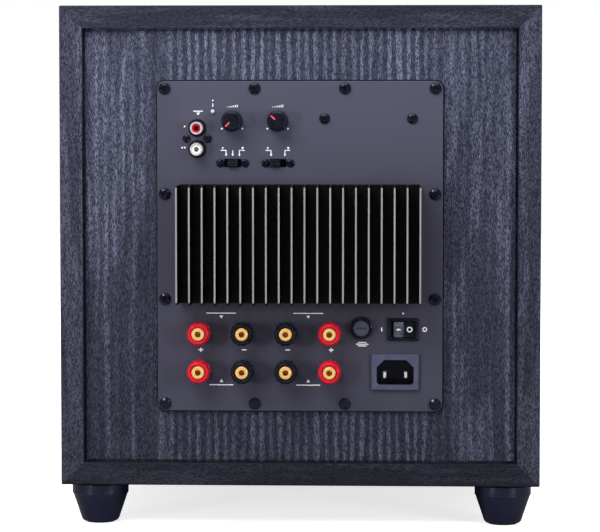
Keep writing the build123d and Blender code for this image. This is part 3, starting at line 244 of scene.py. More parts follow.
# one recipe for mouldings, paint, paper and bare metal: colour wanders towards shade in patches,
# roughness and a fine relief have their own grains; patch, grain, relief and edge are in mm
finishes = {
    "board_black": {
        "colour": (0.012, 0.012, 0.016), "shade": (0.022, 0.022, 0.026),
        "patch": 14, "rough": (0.5, 0.7), "grain": 0.5, "relief": 0.05, "spec": 0.3,
    },
    "foot_black": {
        "colour": (0.004, 0.0048, 0.018), "shade": (0.007, 0.008, 0.027),
        "patch": 9, "rough": (0.17, 0.25), "grain": 0.3, "relief": 0.035, "spec": 0.65,
        "edge": 0.4, "turned": True, "glint": coolGlint,
    },
    "rubber_black": {
        "colour": (0.01, 0.01, 0.011), "shade": (0.022, 0.022, 0.023),
        "patch": 6, "rough": (0.55, 0.8), "grain": 0.4, "relief": 0.02, "spec": 0.35,
    },
    "black_plastic": {
        "colour": (0.004, 0.0044, 0.009), "shade": (0.008, 0.009, 0.017),
        "patch": 5, "rough": (0.22, 0.34), "grain": 0.35, "relief": 0.002, "spec": 0.35,
        "glint": coolGlint,
    },
    "gloss_black": {
        "colour": (0.0045, 0.0045, 0.008), "shade": (0.009, 0.009, 0.015),
        "patch": 5, "rough": (0.12, 0.26), "grain": 0.8, "relief": 0.002, "spec": 0.5,
        "glint": coolGlint,
    },
    "gloss_red": {
        "colour": (0.7, 0.01, 0.034), "shade": (0.52, 0.006, 0.02),
        "patch": 5, "rough": (0.16, 0.3), "grain": 0.8, "relief": 0.004, "spec": 0.5,
    },
    "screw_black": {
        "colour": (0.003, 0.003, 0.007), "shade": (0.008, 0.008, 0.015),
        "patch": 1.2, "rough": (0.07, 0.16), "grain": 0.4, "relief": 0.001, "spec": 0.6,
        "edge": 0.15, "glint": coolGlint,
    },
    "grey_plastic": {
        "colour": (0.056, 0.057, 0.108), "shade": (0.07, 0.069, 0.128),
        "patch": 7, "rough": (0.34, 0.5), "grain": 0.35, "relief": 0.015, "spec": 0.45,
    },
    "white_plastic": {
        "colour": (0.92, 0.9, 0.9), "shade": (0.8, 0.78, 0.78),
        "patch": 3, "rough": (0.2, 0.36), "grain": 0.6, "relief": 0.004, "spec": 0.5,
    },
    "led_clear": {
        "colour": (0.62, 0.6, 0.68), "shade": (0.44, 0.43, 0.52),
        "patch": 1, "rough": (0.06, 0.16), "grain": 0.5, "relief": 0.004, "spec": 0.5,
    },
    "foam": {
        "colour": (0.0035, 0.0035, 0.005), "shade": (0.01, 0.01, 0.012),
        "patch": 1.2, "rough": (0.85, 1), "grain": 0.6, "relief": 0.15, "spec": 0.2,
    },
    "cone_paper": {
        "colour": (0.01, 0.01, 0.011), "shade": (0.026, 0.026, 0.028),
        "patch": 2.5, "rough": (0.6, 0.85), "grain": 0.9, "relief": 0.08, "spec": 0.3,
    },
    "spider_cloth": {
        "colour": (0.52, 0.32, 0.1), "shade": (0.36, 0.21, 0.06),
        "patch": 4, "rough": (0.6, 0.8), "grain": 0.6, "relief": 0.08, "spec": 0.3,
    },
    "fibre": {
        "colour": (0.22, 0.11, 0.05), "shade": (0.14, 0.07, 0.03),
        "patch": 1.5, "rough": (0.5, 0.7), "grain": 0.4, "relief": 0.03, "spec": 0.4,
    },
    "board_green": {
        "colour": (0.015, 0.12, 0.05), "shade": (0.01, 0.07, 0.03),
        "patch": 3, "rough": (0.25, 0.4), "grain": 0.7, "relief": 0.02, "spec": 0.5,
    },
    "steel": {
        "colour": (0.46, 0.46, 0.47), "shade": (0.34, 0.34, 0.36),
        "patch": 3, "rough": (0.25, 0.42), "grain": 0.4, "relief": 0.01, "spec": 0.5, "metal": 1,
    },
    "copper": {
        "colour": (0.62, 0.25, 0.12), "shade": (0.44, 0.15, 0.07),
        "patch": 1, "rough": (0.25, 0.4), "grain": 0.5, "relief": 0.05, "spec": 0.5, "metal": 1,
    },
    "ferrite": {
        "colour": (0.035, 0.035, 0.038), "shade": (0.055, 0.055, 0.058),
        "patch": 2, "rough": (0.4, 0.6), "grain": 0.5, "relief": 0.03, "spec": 0.45,
    },
    "lead_red": {
        "colour": (0.45, 0.02, 0.02), "shade": (0.34, 0.012, 0.012),
        "patch": 4, "rough": (0.35, 0.5), "grain": 0.6, "relief": 0.01, "spec": 0.45,
    },
    "capGrey": {
        "colour": (0.044, 0.046, 0.072), "shade": (0.058, 0.06, 0.09),
        "patch": 3, "rough": (0.3, 0.46), "grain": 0.4, "relief": 0.012, "spec": 0.45,
    },
    "socketRed": {
        "colour": (0.5, 0.01, 0.028), "shade": (0.34, 0.006, 0.015),
        "patch": 2, "rough": (0.2, 0.36), "grain": 0.6, "relief": 0.004, "spec": 0.5,
    },
    "pointerRed": {
        "colour": (0.86, 0.085, 0.115), "shade": (0.74, 0.06, 0.085),
        "patch": 1, "rough": (0.3, 0.45), "grain": 0.4, "relief": 0.006, "spec": 0.45,
    },
    "printWhite": {
        "colour": (0.95, 0.95, 0.97), "shade": (0.86, 0.86, 0.89),
        "patch": 0.8, "rough": (0.4, 0.6), "grain": 0.3, "relief": 0.006, "spec": 0.4,
    },
}


def plainFinish(name):
    f = finishes[name]
    sockets = {"Metallic": f.get("metal", 0.0), "Specular IOR Level": f["spec"]}
    sockets["Specular Tint"] = (*f.get("glint", (1, 1, 1)), 1)
    material, tree, shader, edge = startMaterial(name, f["colour"], sockets, f.get("edge", 0.25) * mm)
    patches = ranged(tree, grains(tree, f["patch"] * mm, 3.0), 0.36, 0.66)
    tree.links.new(blendColour(tree, patches, f["colour"], f["shade"]), shader.inputs["Base Color"])
    wearAndGlint = grains(tree, f["patch"] * 0.45 * mm, 4.0, 0.65, shift=(3.1, 1.7, 0.4))
    tree.links.new(ranged(tree, wearAndGlint, 0.35, 0.7, *f["rough"]), shader.inputs["Roughness"])
    # lathe marks run level round a turned piece; any other relief has no direction
    way = (0.01, 0.01, 1) if f.get("turned") else (1, 1, 1)
    setBump(tree, shader, grains(tree, f["grain"] * mm, 3.0, 0.6, way), 0.6, f["relief"] * mm, edge)
    return material


# powder-coated plate
plateCoat = {
    "colour": (0.053, 0.052, 0.088),
    "shade": (0.043, 0.042, 0.073),
    "texture": 0.42 * mm,
    "relief": 0.030 * mm,
    "patchSize": 60 * mm,
    "rough": (0.46, 0.60),
    "specular": 0.4,
    "paintedShading": (0.74, 1.08),        # painted shade: strength of the colour at the plate's middle and at its top, darker lower down where the heat sink shades the plate and the light from above falls off
    "edge": 0.6 * mm,
}


def plateMaterial():
    look = plateCoat
    sockets = {"Specular IOR Level": look["specular"]}
    material, tree, shader, edge = startMaterial("plate_black", look["colour"], sockets, look["edge"])
    fine = grains(tree, look["texture"], 3.0, 0.6)
    broad = ranged(tree, grains(tree, look["patchSize"], 2.0), 0.35, 0.65)
    grit = ranged(tree, fine, 0.35, 0.65, 0.0, 0.5)
    share = addNode(tree, "Math", {0: broad, 1: grit}, operation="MAXIMUM").outputs[0]
    # painted shade: the coat's colour is scaled down from the plate's top to its middle, standing in for
    # the heat sink's shadow and the light from above
    paintedShadeFactor = ranged(tree, objectAxes(tree)[2], plateMid, plateHigh.z, *look["paintedShading"])
    coat = blendColour(tree, share, look["colour"], look["shade"])
    shadedColour = addNode(tree, "VectorMath", {0: coat, "Scale": paintedShadeFactor}, operation="SCALE").outputs[0]
    tree.links.new(shadedColour, shader.inputs["Base Color"])
    tree.links.new(ranged(tree, fine, 0.3, 0.7, *look["rough"]), shader.inputs["Roughness"])
    setBump(tree, shader, fine, 0.7, look["relief"], edge)
    return material


# anodised extrusion, with die lines that run along the fins and a painted highlight on the fins' outer
# faces
sinkCoat = {
    "flank": (0.0022, 0.0022, 0.0032),
    # colour of the painted highlight on the fins' outer faces
    "edge": (0.34, 0.34, 0.35),
    "glintDepth": 0.5 * mm,
    "dieLine": 0.25 * mm,
}


def sinkMaterial():
    look = sinkCoat
    sockets = {"Metallic": 0.15, "Specular IOR Level": 0.25}
    material, tree, shader, edge = startMaterial("sink_black", look["flank"], sockets, 0.35 * mm)
    # the outer face of each fin lies at the greatest depth of the extrusion
    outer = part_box("heat_sink")[1].y
    depth = objectAxes(tree)[1]
    # painted highlight: the outermost half millimetre of each fin takes a light grey, broken up along the
    # die lines
    glintBand = ranged(tree, depth, outer - look["glintDepth"], outer - look["glintDepth"] * 0.2)
    lines = grains(tree, look["dieLine"], 2.0, 0.6, (1, 1, 0.004))
    wearAndGlint = ranged(tree, lines, 0.3, 0.7, 0.72, 1.0)
    share = calc(tree, "MULTIPLY", glintBand, wearAndGlint)
    tree.links.new(blendColour(tree, share, look["flank"], look["edge"]), shader.inputs["Base Color"])
    tree.links.new(ranged(tree, lines, 0.3, 0.7, 0.30, 0.46), shader.inputs["Roughness"])
    setBump(tree, shader, lines, 0.4, 0.02 * mm, edge)
    return material


# plated turnings: fine rings about the nearest axis of an even grid of axes, which has its first
# column beside the middle, its pitch across and up, and a row's height from the plate's middle
plated = {
    "gold": {
        "colour": (0.98, 0.66, 0.26), "shade": (0.94, 0.50, 0.13),
        "rough": (0.20, 0.36), "ring": 0.42 * mm, "metal": 0.35,
        "first": 66.9 * mm, "pitch": (29.0 * mm, 25.4 * mm), "height": -57.5 * mm,
    },
    "nickel": {
        "colour": (0.88, 0.84, 0.86), "shade": (0.72, 0.68, 0.70),
        "rough": (0.14, 0.30), "ring": 0.5 * mm, "metal": 0.5,
        "first": 68.2 * mm, "pitch": (29.0 * mm, 14.0 * mm), "height": 78.8 * mm,
    },
}


def platedFinish(name):
    look = plated[name]
    sockets = {"Metallic": look["metal"]}
    material, tree, shader, edge = startMaterial(name, look["colour"], sockets, 0.2 * mm)
    axes = objectAxes(tree)

    # how far a point is from the nearest turning axis, to either side: a sawtooth of the pitch
    def toNearest(value, first, pitch):
        wrapped = calc(tree, "WRAP", calc(tree, "SUBTRACT", value, first), pitch / 2)
        wrapped.node.inputs[2].default_value = -pitch / 2
        return wrapped

    across = toNearest(axes[0], look["first"], look["pitch"][0])
    up = toNearest(axes[2], plateMid + look["height"], look["pitch"][1])
    squares = [calc(tree, "MULTIPLY", v, v) for v in (across, up)]
    radius = calc(tree, "SQRT", calc(tree, "ADD", squares[0], squares[1]))
    rings = calc(tree, "SINE", calc(tree, "MULTIPLY", radius, 2 * np.pi / look["ring"]))
    patches = ranged(tree, grains(tree, 1.6 * mm, 3.0), 0.35, 0.65)
    tree.links.new(blendColour(tree, patches, look["colour"], look["shade"]), shader.inputs["Base Color"])
    tree.links.new(ranged(tree, rings, -1, 1, *look["rough"]), shader.inputs["Roughness"])
    setBump(tree, shader, rings, 0.25, 0.01 * mm, edge)
    return material


# the fuse's glass tube
def glassMaterial():
    sockets = {"Transmission Weight": 0.9, "IOR": 1.5}
    material, tree, shader, edge = startMaterial("glass", (0.82, 0.86, 0.86), sockets, 0.2 * mm)
    smear = grains(tree, 2 * mm, 3.0)
    tree.links.new(ranged(tree, smear, 0.3, 0.7, 0.03, 0.12), shader.inputs["Roughness"])
    setBump(tree, shader, smear, 0.2, 0.01 * mm, edge)
    return material


grilleCloth = {
    "yarn": 1.05 * mm,
    "dark": (0.0045, 0.0045, 0.0055),
    "light": (0.030, 0.030, 0.034),
    "relief": 0.22 * mm,
    "sag": 0.5 * mm,
    "corner": 1.2 * mm,
    "bend": 1.0 * mm,
    "rail": 19 * mm,             # width of the frame's rails, which hold the face flat
    "slope": 14 * mm,            # how far from the rails the sag is reached
    "steps": (96, 60),           # points along each side, and rings
    "bendRings": 4,
    "mapUnit": 0.32,             # metres that one unit of the flat map stands for
}


def clothMaterial():
    look = grilleCloth
    sockets = {"Sheen Weight": 0.25, "Sheen Roughness": 0.4, "Specular IOR Level": 0.2}
    material, tree, shader, _ = startMaterial("grille_cloth", look["light"], sockets, 0)
    flat = addNode(tree, "SeparateXYZ", {0: addNode(tree, "UVMap", uv_map="clothFlat").outputs[0]}).outputs
    turns = 2 * np.pi * look["mapUnit"] / look["yarn"]
    wobble = calc(tree, "MULTIPLY", grains(tree, 9 * mm, 2.0), 2.2)
    warp = calc(tree, "SINE", calc(tree, "ADD", calc(tree, "MULTIPLY", flat[0], turns), wobble))
    weft = calc(tree, "SINE", calc(tree, "ADD", calc(tree, "MULTIPLY", flat[1], turns), wobble))
    over = calc(tree, "MULTIPLY", warp, weft)
    knots = ranged(tree, over, -1.0, 1.0)
    fuzz = ranged(tree, grains(tree, 0.5 * mm, 2.0), 0.3, 0.7, 0.6, 1.0)
    share = calc(tree, "MULTIPLY", knots, fuzz)
    tree.links.new(blendColour(tree, share, look["dark"], look["light"]), shader.inputs["Base Color"])
    tree.links.new(ranged(tree, share, 0, 1, 0.95, 0.75), shader.inputs["Roughness"])
    setBump(tree, shader, share, 0.8, look["relief"], None)
    return material


def paint(name, material):
    slots = nodes[name].data.materials
    slots.clear()
    slots.append(material)


materials = {name: plainFinish(name) for name in finishes}
materials.update({name: platedFinish(name) for name in plated})
materials["plate_black"] = plateMaterial()
materials["sink_black"] = sinkMaterial()
materials["glass"] = glassMaterial()
materials["grille_cloth"] = clothMaterial()
ashX, ashZ = 0, 2
# painted sheen: one foil in lit and shaded copies, with weaker light strokes on the top and bottom boards
# than on the sides and the panel
materials["ashSides"] = ashMaterial("ashSides", ashZ, 0.72, shift=(0.31, 0.0, 0.0))
materials["ashTop"] = ashMaterial("ashTop", ashX, 0.27, shift=(0.0, 0.0, 0.7))
materials["ashBottom"] = ashMaterial("ashBottom", ashX, 0.30, shift=(0.0, 0.3, 0.9))
materials["ashPanel"] = ashMaterial("ashPanel", ashZ, 1.0, pins=True)
print("materials made:", len(materials))

# every CAD node takes the material of its slot, apart from the boards
slotOf = {part["node"]: part["material_slot"] for part in frame["record"]["subparts"]}
# the fuse cap is darker than the inlet that shares its slot
finishOf = {
    "fuse_cap": "capGrey",
    "cabinet_sides": "ashSides",
    "cabinet_top": "ashTop",
    "cabinet_bottom": "ashBottom",
    "back_panel": "ashPanel",
}
for name in nodes:
    paint(name, materials[finishOf.get(name, slotOf[name])])


# gives a second material to the faces of a node whose middles pass a test
def paintFaces(name, material, test):
    mesh = nodes[name].data
    mesh.materials.append(material)
    middles = np.empty(len(mesh.polygons) * 3, np.float32)
    mesh.polygons.foreach_get("center", middles)
    chosen = test(middles.reshape(-1, 3))
    mesh.polygons.foreach_set("material_index", chosen.astype(np.int32))


# the upper phono socket is red, and the mains inlet is black inside its grey flange
socketSplit = middleOf("rca_insulators").z
paintFaces("rca_insulators", materials["socketRed"], lambda at: at[:, 2] > socketSplit)
inletOpening = {"halfWidth": 12.6 * mm, "halfHeight": 8.4 * mm, "lip": 0.7 * mm}
inletMiddle = middleOf("inlet_body")
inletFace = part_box("inlet_body")[1].y


def insideInlet(at):
    across = np.abs(at[:, 0] - inletMiddle.x) < inletOpening["halfWidth"]
    up = np.abs(at[:, 2] - inletMiddle.z) < inletOpening["halfHeight"]
    return across & up & (at[:, 1] < inletFace - inletOpening["lip"])


paintFaces("inlet_body", materials["black_plastic"], insideInlet)
print("parts painted:", len(nodes))


# a mesh from points and faces, on the body that it rides and with its slot
def newPiece(name, points, faces, material, body, smooth=False):
    mesh = bpy.data.meshes.new(name)
    mesh.from_pydata(points.tolist(), [], faces)
    mesh.polygons.foreach_set("use_smooth", np.full(len(mesh.polygons), smooth))
    mesh.materials.append(material)
    mesh.update()
    piece = bpy.data.objects.new(name, mesh)
    bpy.context.scene.collection.objects.link(piece)
    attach(piece, body)
    return piece


# quads between neighbouring rows and columns of a grid of points; columns may close into a ring
def gridFaces(rows, columns, closed=False):
    across = np.arange(columns if closed else columns - 1)
    row = np.arange(rows - 1)[:, None]
    near, far = row * columns + across, row * columns + (across + 1) % columns
    return np.stack([near, far, far + columns, near + columns], -1).reshape(-1, 4).tolist()


# printed marks: thin raised shapes, drawn as seen from behind
printed = {
    "thickness": 0.06 * mm,
    "line": 0.60 * mm,
    "dot": 0.66 * mm,
    "smallDot": 0.60 * mm,
}


# outlines as (right, up) pairs: a bar has its ends at start and end, and is wide across
def bar(start, end, wide):
    start, end = np.array(start, float), np.array(end, float)
    along = (end - start) / np.linalg.norm(end - start)
    side = np.array([-along[1], along[0]]) * wide / 2
    return np.array([start - side, end - side, end + side, start + side])


def disc(middle, radius, count=20):
    turn = np.arange(count) * 2 * np.pi / count
    return np.array(middle) + radius * np.stack([np.cos(turn), np.sin(turn)], 1)


def triangle(tip, half, tall, way=-1):
    x, z = tip
    base = z - way * tall
    points = np.array([(x, z), (x + half, base), (x - half, base)])
    return points if way < 0 else points[::-1]


# a closed prism on each outline: the outline at the front, the same at the back, and a wall between
def prisms(outlines, place, outward, thickness):
    points, faces, used = [], [], 0
    for outline in outlines:
        count = len(outline)
        low, high = place(outline), place(outline) + np.array(outward) * thickness
        points.append(np.concatenate([low, high]))
        ring = np.arange(count)
        following = (ring + 1) % count
        faces.append((used + count + ring).tolist())
        faces.append((used + ring[::-1]).tolist())
        walls = np.stack([ring, following, following + count, ring + count], 1) + used
        faces.extend(walls.tolist())
        used += 2 * count
    return np.concatenate(points), faces


# a ring is drawn as short bars that share their ends' corners
def ringBars(middle, radius, wide, count=24):
    turn = np.arange(count + 1) * 2 * np.pi / count
    inner = np.array(middle) + (radius - wide / 2) * np.stack([np.cos(turn), np.sin(turn)], 1)
    outer = np.array(middle) + (radius + wide / 2) * np.stack([np.cos(turn), np.sin(turn)], 1)
    return [np.array([inner[i], outer[i], outer[i + 1], inner[i + 1]]) for i in range(count)]


# where a part stands on the plate, as (right, up) seen from behind
def seen(name):
    middle = middleOf(name)
    return np.array([-middle.x, middle.z])


# a dot at each end of a knob's travel, and a rising scale over it
knobMarks = {
    "dotAt": (6.85 * mm, -5.1 * mm),
    "ticks": 7,
    "tickPitch": 1.15 * mm,
    "tickFoot": 9.0 * mm,
    "tickTall": (0.35 * mm, 0.24 * mm),      # the first, and how much each one grows
    "tickWide": 0.54 * mm,
}


def knobOutlines():
    look = knobMarks
    out, down = look["dotAt"]
    foot, (first, growth) = look["tickFoot"], look["tickTall"]
    outlines = []
    for knob in ("volume_knob", "crossover_knob"):
        at = seen(knob)
        outlines += [disc(at + (side * out, down), printed["dot"]) for side in (-1, 1)]
        for i in range(look["ticks"]):
            x = (i - (look["ticks"] - 1) / 2) * look["tickPitch"]
            outlines.append(bar(at + (x, foot), at + (x, foot + first + growth * i), look["tickWide"]))
    return outlines


# a line and a dot over the power light
lightMarks = {"line": (3.2 * mm, 5.4 * mm), "dotAt": 7.4 * mm, "dot": 0.5 * mm}


def lightOutlines():
    at = seen("power_led")
    low, high = lightMarks["line"]
    line = bar(at + (0, low), at + (0, high), printed["line"])
    return [line, disc(at + (0, lightMarks["dotAt"]), lightMarks["dot"])]


# an arrow for each position of a switch; the outer ones branch out under a dot
switchMarks = {
    "auto_switch_slider": (-4.4 * mm, 0, 4.4 * mm),
    "phase_switch_slider": (-4.6 * mm, 4.6 * mm),
    "phaseRest": 2.2 * mm,       # the phase slider rests this far left of its slot's middle
    "head": (0.85 * mm, 1.5 * mm),
    "tip": 4.5 * mm,
    "stem": 4.0 * mm,
    "branch": 3.6 * mm,
    "dotAt": (2.2 * mm, 1.6 * mm),
    "dots": {-1: 0.55 * mm, 1: 0.75 * mm},
}


def switchOutlines():
    look, line = switchMarks, printed["line"]
    half, tall = look["head"]
    out, up = look["dotAt"]
    outlines = []
    for switch, rest in (("auto_switch_slider", 0), ("phase_switch_slider", look["phaseRest"])):
        for column in look[switch]:
            tip = seen(switch) + (rest + column, look["tip"])
            top = tip + (0, look["stem"])
            outlines += [triangle(tip, half, tall), bar(tip + (0, tall), top, line)]
            if column:
                way = int(np.sign(column))
                outlines.append(bar(top - (way * line / 2, 0), top + (way * look["branch"], 0), line))
                outlines.append(disc(top + (way * out, up), look["dots"][way]))
    return outlines


# one dot for the first input and two for the second, with an arrow that points in
inputMarks = {
    "rise": 7 * mm,              # half the pitch of the two sockets
    "dotAt": (-8.4 * mm, 1.0 * mm),
    "dotPitch": 1.7 * mm,
    "arrowAt": (0.6 * mm, 8.4 * mm),
    "arrow": (1.3 * mm, 1.9 * mm),
    "bar": (-2.6 * mm, 3.8 * mm, 11.2 * mm),     # its two ends and its height
}


def inputOutlines():
    look = inputMarks
    upper, lower = (seen("rca_insulators") + (0, side * look["rise"]) for side in (1, -1))
    left, up = look["dotAt"]
    outlines = [disc(upper + (left, up), printed["smallDot"])]
    outlines += [disc(lower + (left - look["dotPitch"] * i, up), printed["smallDot"]) for i in (0, 1)]
    start, end, height = look["bar"]
    outlines.append(triangle(upper + look["arrowAt"], *look["arrow"]))
    outlines.append(bar(upper + (start, height), upper + (end, height), printed["line"]))
    return outlines


# signs between the rows of posts, and a bar with an arrow over and under each pair;
# heights are from the plate's middle
postMarks = {
    "signs": (0.8 * mm, -69.0 * mm),     # shift from a post's column, and height
    "sign": (2.6 * mm, 3.2 * mm, 0.80 * mm),     # height, length and line width
    "arrow": (1.3 * mm, 2.0 * mm),
    "over": (-44.5 * mm, 10 * mm, -3.6 * mm),    # height, half length, and the arrow's tip
    "under": (-92.5 * mm, 8 * mm, 3.8 * mm),
}


def postOutlines():
    look = postMarks
    shift, signRow = look["signs"]
    tall, long, wide = look["sign"]
    posts = ("red_post_nut_1", "black_post_nut_1", "black_post_nut_2", "red_post_nut_2")
    columns = [seen(post)[0] for post in posts]
    outlines = []
    for post, x in zip(posts, columns):
        middle = np.array([x + shift, plateMid + signRow])
        outlines.append(bar(middle - (long / 2, 0), middle + (long / 2, 0), wide))
        if post.startswith("red"):
            outlines.append(bar(middle + (0, wide / 2), middle + (0, tall / 2), wide))
            outlines.append(bar(middle - (0, tall / 2), middle - (0, wide / 2), wide))
    for pair in (columns[:2], columns[2:]):
        middle = sum(pair) / 2
        for (height, half, tip), way in ((look["over"], -1), (look["under"], 1)):
            z = plateMid + height
            outlines.append(bar((middle - half, z), (middle + half, z), printed["line"]))
            outlines.append(triangle((middle, z + tip), *look["arrow"], way=way))
    return outlines


# the fuse: a body with a wire through it
fuseMark = {
    "middle": (0.5 * mm, -11.0 * mm),
    "wire": 4.2 * mm,
    "body": (2.6 * mm, 1.15 * mm),
    "end": 1.36 * mm,
}


def fuseOutlines():
    middle = seen("fuse_cap") + fuseMark["middle"]
    wire, end, line = fuseMark["wire"], fuseMark["end"], printed["line"]
    long, half = fuseMark["body"]
    outlines = [bar(middle + (-wire, 0), middle + (wire, 0), line)]
    for side in (-1, 1):
        outlines.append(bar(middle + (-long, side * half), middle + (long, side * half), line))
        outlines.append(bar(middle + (side * long, -end), middle + (side * long, end), line))
    return outlines


# on and off beside the rocker, and a dot over it
powerMarks = {
    "on": (-14.2 * mm, 1.3 * mm, 0.78 * mm),     # place, half height or radius, and line width
    "off": (14.4 * mm, 1.25 * mm, 0.72 * mm),
    "dotAt": 10.6 * mm,
}


def powerOutlines():
    rocker = seen("power_switch_body")
    x, half, wide = powerMarks["on"]
    outlines = [bar(rocker + (x, -half), rocker + (x, half), wide)]
    x, radius, wide = powerMarks["off"]
    outlines += ringBars(rocker + (x, 0), radius, wide, 16)
    outlines.append(disc(rocker + (0, powerMarks["dotAt"]), printed["smallDot"]))
    return outlines


def plateOutlines():
    groups = (knobOutlines, lightOutlines, switchOutlines, inputOutlines)
    groups += (postOutlines, fuseOutlines, powerOutlines)
    return [outline for group in groups for outline in group()]


def onPlate(outline):
    right, up = outline[:, 0], outline[:, 1]
    return np.stack([-right, np.full(len(outline), plateFace), up], 1)


points, faces = prisms(plateOutlines(), onPlate, (0, 1, 0), printed["thickness"])
newPiece("plate_marks", points, faces, materials["printWhite"], "cabinet")
print("marks printed on the plate")

# marks on the rocker's two sloping faces, in its own plane and then tipped with it
rockerMarks = {
    "pivotDepth": -1.0 * mm,
    "tilt": 10.0,
    "valley": 2.2 * mm,
    "crest": 3.4 * mm,
    "reach": 7.2 * mm,
    "bar": (2.2 * mm, 4.9 * mm, 0.95 * mm),
    "ring": (3.9 * mm, 1.5 * mm, 0.75 * mm),
}


# height of a face is valley + slope * |right|; the whole is turned about the pivot by the tilt
def onRocker(outline):
    look = rockerMarks
    middle = middleOf("power_switch_body")
    x, up = -outline[:, 0], outline[:, 1]
    y = look["valley"] + (look["crest"] - look["valley"]) / look["reach"] * np.abs(x)
    turn = np.radians(look["tilt"])
    row = middle.x + x * np.cos(turn) - y * np.sin(turn)
    depth = plateFace + look["pivotDepth"] + x * np.sin(turn) + y * np.cos(turn)
    return np.stack([row, depth, middle.z + up], 1)


start, end, wide = rockerMarks["bar"]
ringAt, radius, thick = rockerMarks["ring"]
outlines = [bar((-end, 0), (-start, 0), wide), *ringBars((ringAt, 0), radius, thick, 28)]
points, faces = prisms(outlines, onRocker, (0, 1, 0), printed["thickness"])
newPiece("rocker_marks", points, faces, materials["printWhite"], "rocker")
print("marks printed on the rocker")

# coloured pointer bars, let into the knobs' grooves
pointers = {
    "volume_knob": 225.0,        # degrees, counter-clockwise from the right, seen from behind
    "crossover_knob": 138.0,
    "span": (1.45 * mm, 5.25 * mm),
    "wide": 1.08 * mm,
    "depth": 0.36 * mm,
}
for knob in ("volume_knob", "crossover_knob"):
    turn = np.radians(pointers[knob])
    way = np.array([np.cos(turn), np.sin(turn)])
    low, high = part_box(knob)
    middle = np.array([-(low.x + high.x) / 2, (low.z + high.z) / 2])
    inner, outer = pointers["span"]
    outline = bar(middle + inner * way, middle + outer * way, pointers["wide"])
    floor = high.y - pointers["depth"]

    def inKnob(flat):
        return np.stack([-flat[:, 0], np.full(len(flat), floor), flat[:, 1]], 1)

    points, faces = prisms([outline], inKnob, (0, 1, 0), pointers["depth"] + 0.05 * mm)
    newPiece(knob.replace("knob", "pointer"), points, faces, materials["pointerRed"], knob)
print("pointers let in")

# grille cloth: one sheet drawn over the frame and folded round its sides:
# rings of a rounded square grow from the middle to the edge, then run back along the sides;
# between the rails the face sinks by the sag, as a smooth step of the distance from the rails
clothLow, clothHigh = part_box("grille_cloth")


def clothSurface():
    look = grilleCloth
    perSide, rings = look["steps"]
    half = (clothHigh.x - clothLow.x) / 2
    corner, bend, bent = look["corner"], look["bend"], look["bendRings"]
    middle = np.array([(clothLow.x + clothHigh.x) / 2, 0, (clothLow.z + clothHigh.z) / 2])
    # outline of a unit square with rounded corners, walked all the way round
    side = np.linspace(-1, 1, perSide, endpoint=False)
    one = np.ones_like(side)
    square = np.concatenate(
        [np.stack(pair, 1) for pair in ((side, -one), (one, side), (-side, one), (-one, -side))]
    )
    face = np.linspace(0.002, 1, rings) ** 0.8
    grow = (half - bend) * np.concatenate([face, np.ones(bent + 2)])
    flat = square[None] * grow[:, None, None]
    limit = half - corner
    core = np.clip(flat, -limit, limit)
    over = flat - core
    length = np.linalg.norm(over, axis=2, keepdims=True)
    reach = np.max(np.abs(over), axis=2, keepdims=True)
    rounded = core + over * np.divide(reach, length, out=np.ones_like(length), where=length > 0)
    # straight out at the sides, and out from the corner's middle at the corners
    straight = square[None] * (np.abs(square[None]) >= 1)
    outward = np.where(length > 1e-9, over / np.maximum(length, 1e-9), straight)
    outward = outward / np.maximum(np.linalg.norm(outward, axis=2, keepdims=True), 1e-9)
    # the last rings bend through a quarter circle and then run back
    rows = len(grow)
    arc = np.zeros(rows)
    arc[rings:rings + bent] = np.linspace(1 / bent, 1, bent)
    arc[rings + bent:] = 1
    swing = np.radians(90) * arc
    runBack = np.zeros(rows)
    runBack[rings + bent:] = [0.5, 1.0]
    depth = clothHigh.y - clothLow.y - bend
    across = rounded + outward * (bend * np.sin(swing))[:, None, None]
    y = clothLow.y + (bend * (1 - np.cos(swing)) + runBack * depth)[:, None] + np.zeros(flat.shape[:2])
    fromRail = np.min((half - look["rail"]) - np.abs(rounded), axis=2)
    step = np.clip(fromRail / look["slope"], 0, 1)
    y = y + look["sag"] * step * step * (3 - 2 * step)
    points = np.stack([across[..., 0], y, across[..., 1]], -1) + middle
    walked = (bend * swing + runBack * depth)[:, None, None]
    cut = (rounded + outward * walked) / look["mapUnit"] + 0.5
    return points, cut


points, cut = clothSurface()
rows, columns = points.shape[:2]
# the middle is closed with one face
faces = gridFaces(rows, columns, closed=True) + [list(range(columns))[::-1]]
cloth = newPiece("grille_cloth_sheet", points.reshape(-1, 3), faces, materials["grille_cloth"], "grille",
                 smooth=True)
layer = cloth.data.uv_layers.new(name="clothFlat")
corner = np.empty(len(cloth.data.loops), np.int32)
cloth.data.loops.foreach_get("vertex_index", corner)
layer.data.foreach_set("uv", cut.reshape(-1, 2)[corner].astype(np.float32).ravel())
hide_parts("grille_cloth")
print("grille cloth stretched")

# pale floor and soft studio light
stage = {
    "floorSize": 8.0,
    "floorGap": 0.1 * mm,        # how far the floor lies under the rubber pads
    "floorColour": (0.86, 0.86, 0.87),
    "backdrop": 1.0,
    "ambient": 0.12,
    "bounce": 0.25,              # how much of the light the floor gives back to the object
    "glow": (0.74, 1.0),         # brightness to the eye near the object and far away
    "glowReach": (0.25, 1.60),
}
reach = stage["floorSize"] / 2
corners = np.array([(-reach, -reach, 0), (reach, -reach, 0), (reach, reach, 0), (-reach, reach, 0)])
corners[:, 2] = -stage["floorGap"]
floorSockets = {"Specular IOR Level": 0.1}
floorMaterial, floorTree, floorShader, _ = startMaterial("floor", stage["floorColour"], floorSockets, 0)
paper = grains(floorTree, 3 * mm, 3.0)
floorTree.links.new(ranged(floorTree, paper, 0.3, 0.7, 0.8, 0.95), floorShader.inputs["Roughness"])
